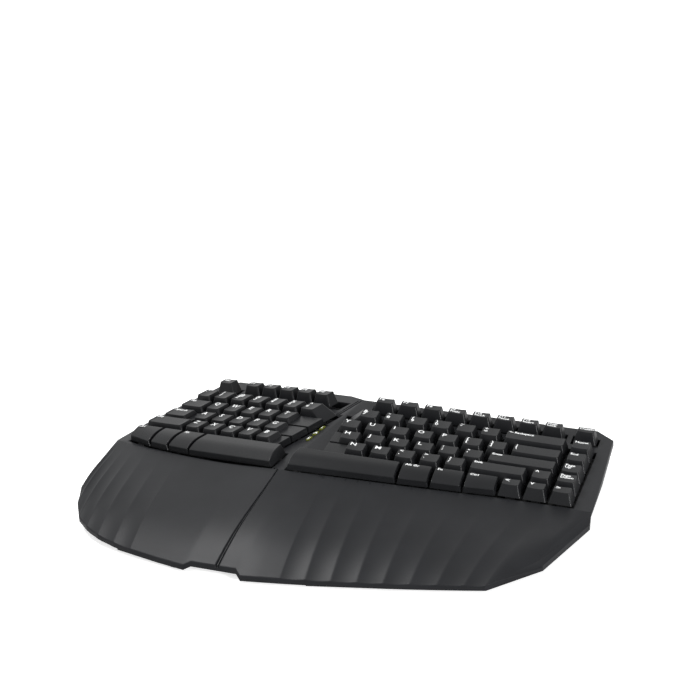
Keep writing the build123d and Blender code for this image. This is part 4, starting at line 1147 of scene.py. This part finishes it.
class KEYBOARD_OT_caps(bpy.types.Operator):
    """Model every cap and its letters on the two key fields"""
    bl_idname = "keyboard.caps"
    bl_label = "Caps and letters"

    def execute(self, context):
        master = cap_shell()
        groups, words = {}, {}
        for node, half, row, keys in CAPS:
            matrix = field_frame(half)
            for left, right, far_edge, text in keys:
                cap = square_cap(master, row, left, right, far_edge)
                groups.setdefault(node, []).append(placed(cap, matrix))
                if text:
                    letters = cap_letters(row, left, right, text)
                    words.setdefault(node, []).append(placed(letters, matrix))
        for node, half, corners, text in ROLLED_CAPS:
            matrix = field_frame(half)
            groups.setdefault(node, []).append(placed(rolled_cap(corners), matrix))
            if text:
                words.setdefault(node, []).append(placed(rolled_letters(corners, text), matrix))
        bpy.data.objects.remove(master)
        for node, objs in groups.items():
            short = node.split("_", 1)[1]
            cap = joined(objs, "cap_" + short)
            smooth(cap, CAP_SMOOTH_ANGLE)
            dress(cap, material_of("cap_plastic"))
            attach(cap, node + "_body")
            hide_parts(node)
            if node in words:
                letters = joined(words[node], "letters_" + short)
                dress(letters, material_of("letter_ink"))
                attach(letters, node + "_body")
        return {"FINISHED"}


class KEYBOARD_OT_frame_finish(bpy.types.Operator):
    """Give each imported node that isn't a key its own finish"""
    bl_idname = "keyboard.frame_finish"
    bl_label = "Finishes of the packed parts"

    def execute(self, context):
        for node, finish in FINISHES.items():
            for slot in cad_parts[node].material_slots:
                slot.material = material_of(finish)
        return {"FINISHED"}


class KEYBOARD_OT_stage(bpy.types.Operator):
    """Set the floor, lamps and camera"""
    bl_idname = "keyboard.stage"
    bl_label = "Stage"

    def execute(self, context):
        scene = context.scene
        scene.view_settings.view_transform = "Standard"
        only(None)
        bpy.ops.mesh.primitive_plane_add(size=FLOOR_SIZE)
        floor = bpy.context.object
        floor.name = "floor"
        floor.data.materials.append(floor_white())
        scene.world = studio_world()
        for values in STUDIO_LAMPS:
            studio_lamp(*values)
        scene.camera = photo_camera()
        return {"FINISHED"}


class KEYBOARD_PT_panel(bpy.types.Panel):
    """Lists the steps that dress the keyboard"""
    bl_idname = "KEYBOARD_PT_panel"
    bl_label = "Split keyboard"
    bl_space_type = "VIEW_3D"
    bl_region_type = "UI"
    bl_category = "Keyboard"

    def draw(self, context):
        for step in STEPS:
            self.layout.operator(step.bl_idname)
        for name in ("cap_colour", "cover_colour", "case_colour", "letter_colour", "flute_depth"):
            self.layout.prop(context.scene.split_keyboard, name)


STEPS = (
    KEYBOARD_OT_frame_finish, KEYBOARD_OT_cover, KEYBOARD_OT_base, KEYBOARD_OT_lamps, KEYBOARD_OT_caps,
    KEYBOARD_OT_stage,
)
CLASSES = (KEYBOARD_PG_sizes,) + STEPS + (KEYBOARD_PT_panel,)


def register():
    for cls in CLASSES:
        bpy.utils.register_class(cls)
    bpy.types.Scene.split_keyboard = bpy.props.PointerProperty(type=KEYBOARD_PG_sizes)


def unregister():
    del bpy.types.Scene.split_keyboard
    for cls in reversed(CLASSES):
        bpy.utils.unregister_class(cls)


def main():
    register()
    bpy.ops.keyboard.frame_finish()
    bpy.ops.keyboard.cover()
    bpy.ops.keyboard.base()
    bpy.ops.keyboard.lamps()
    bpy.ops.keyboard.caps()
    bpy.ops.keyboard.stage()


if __name__ == "__main__":
    main()
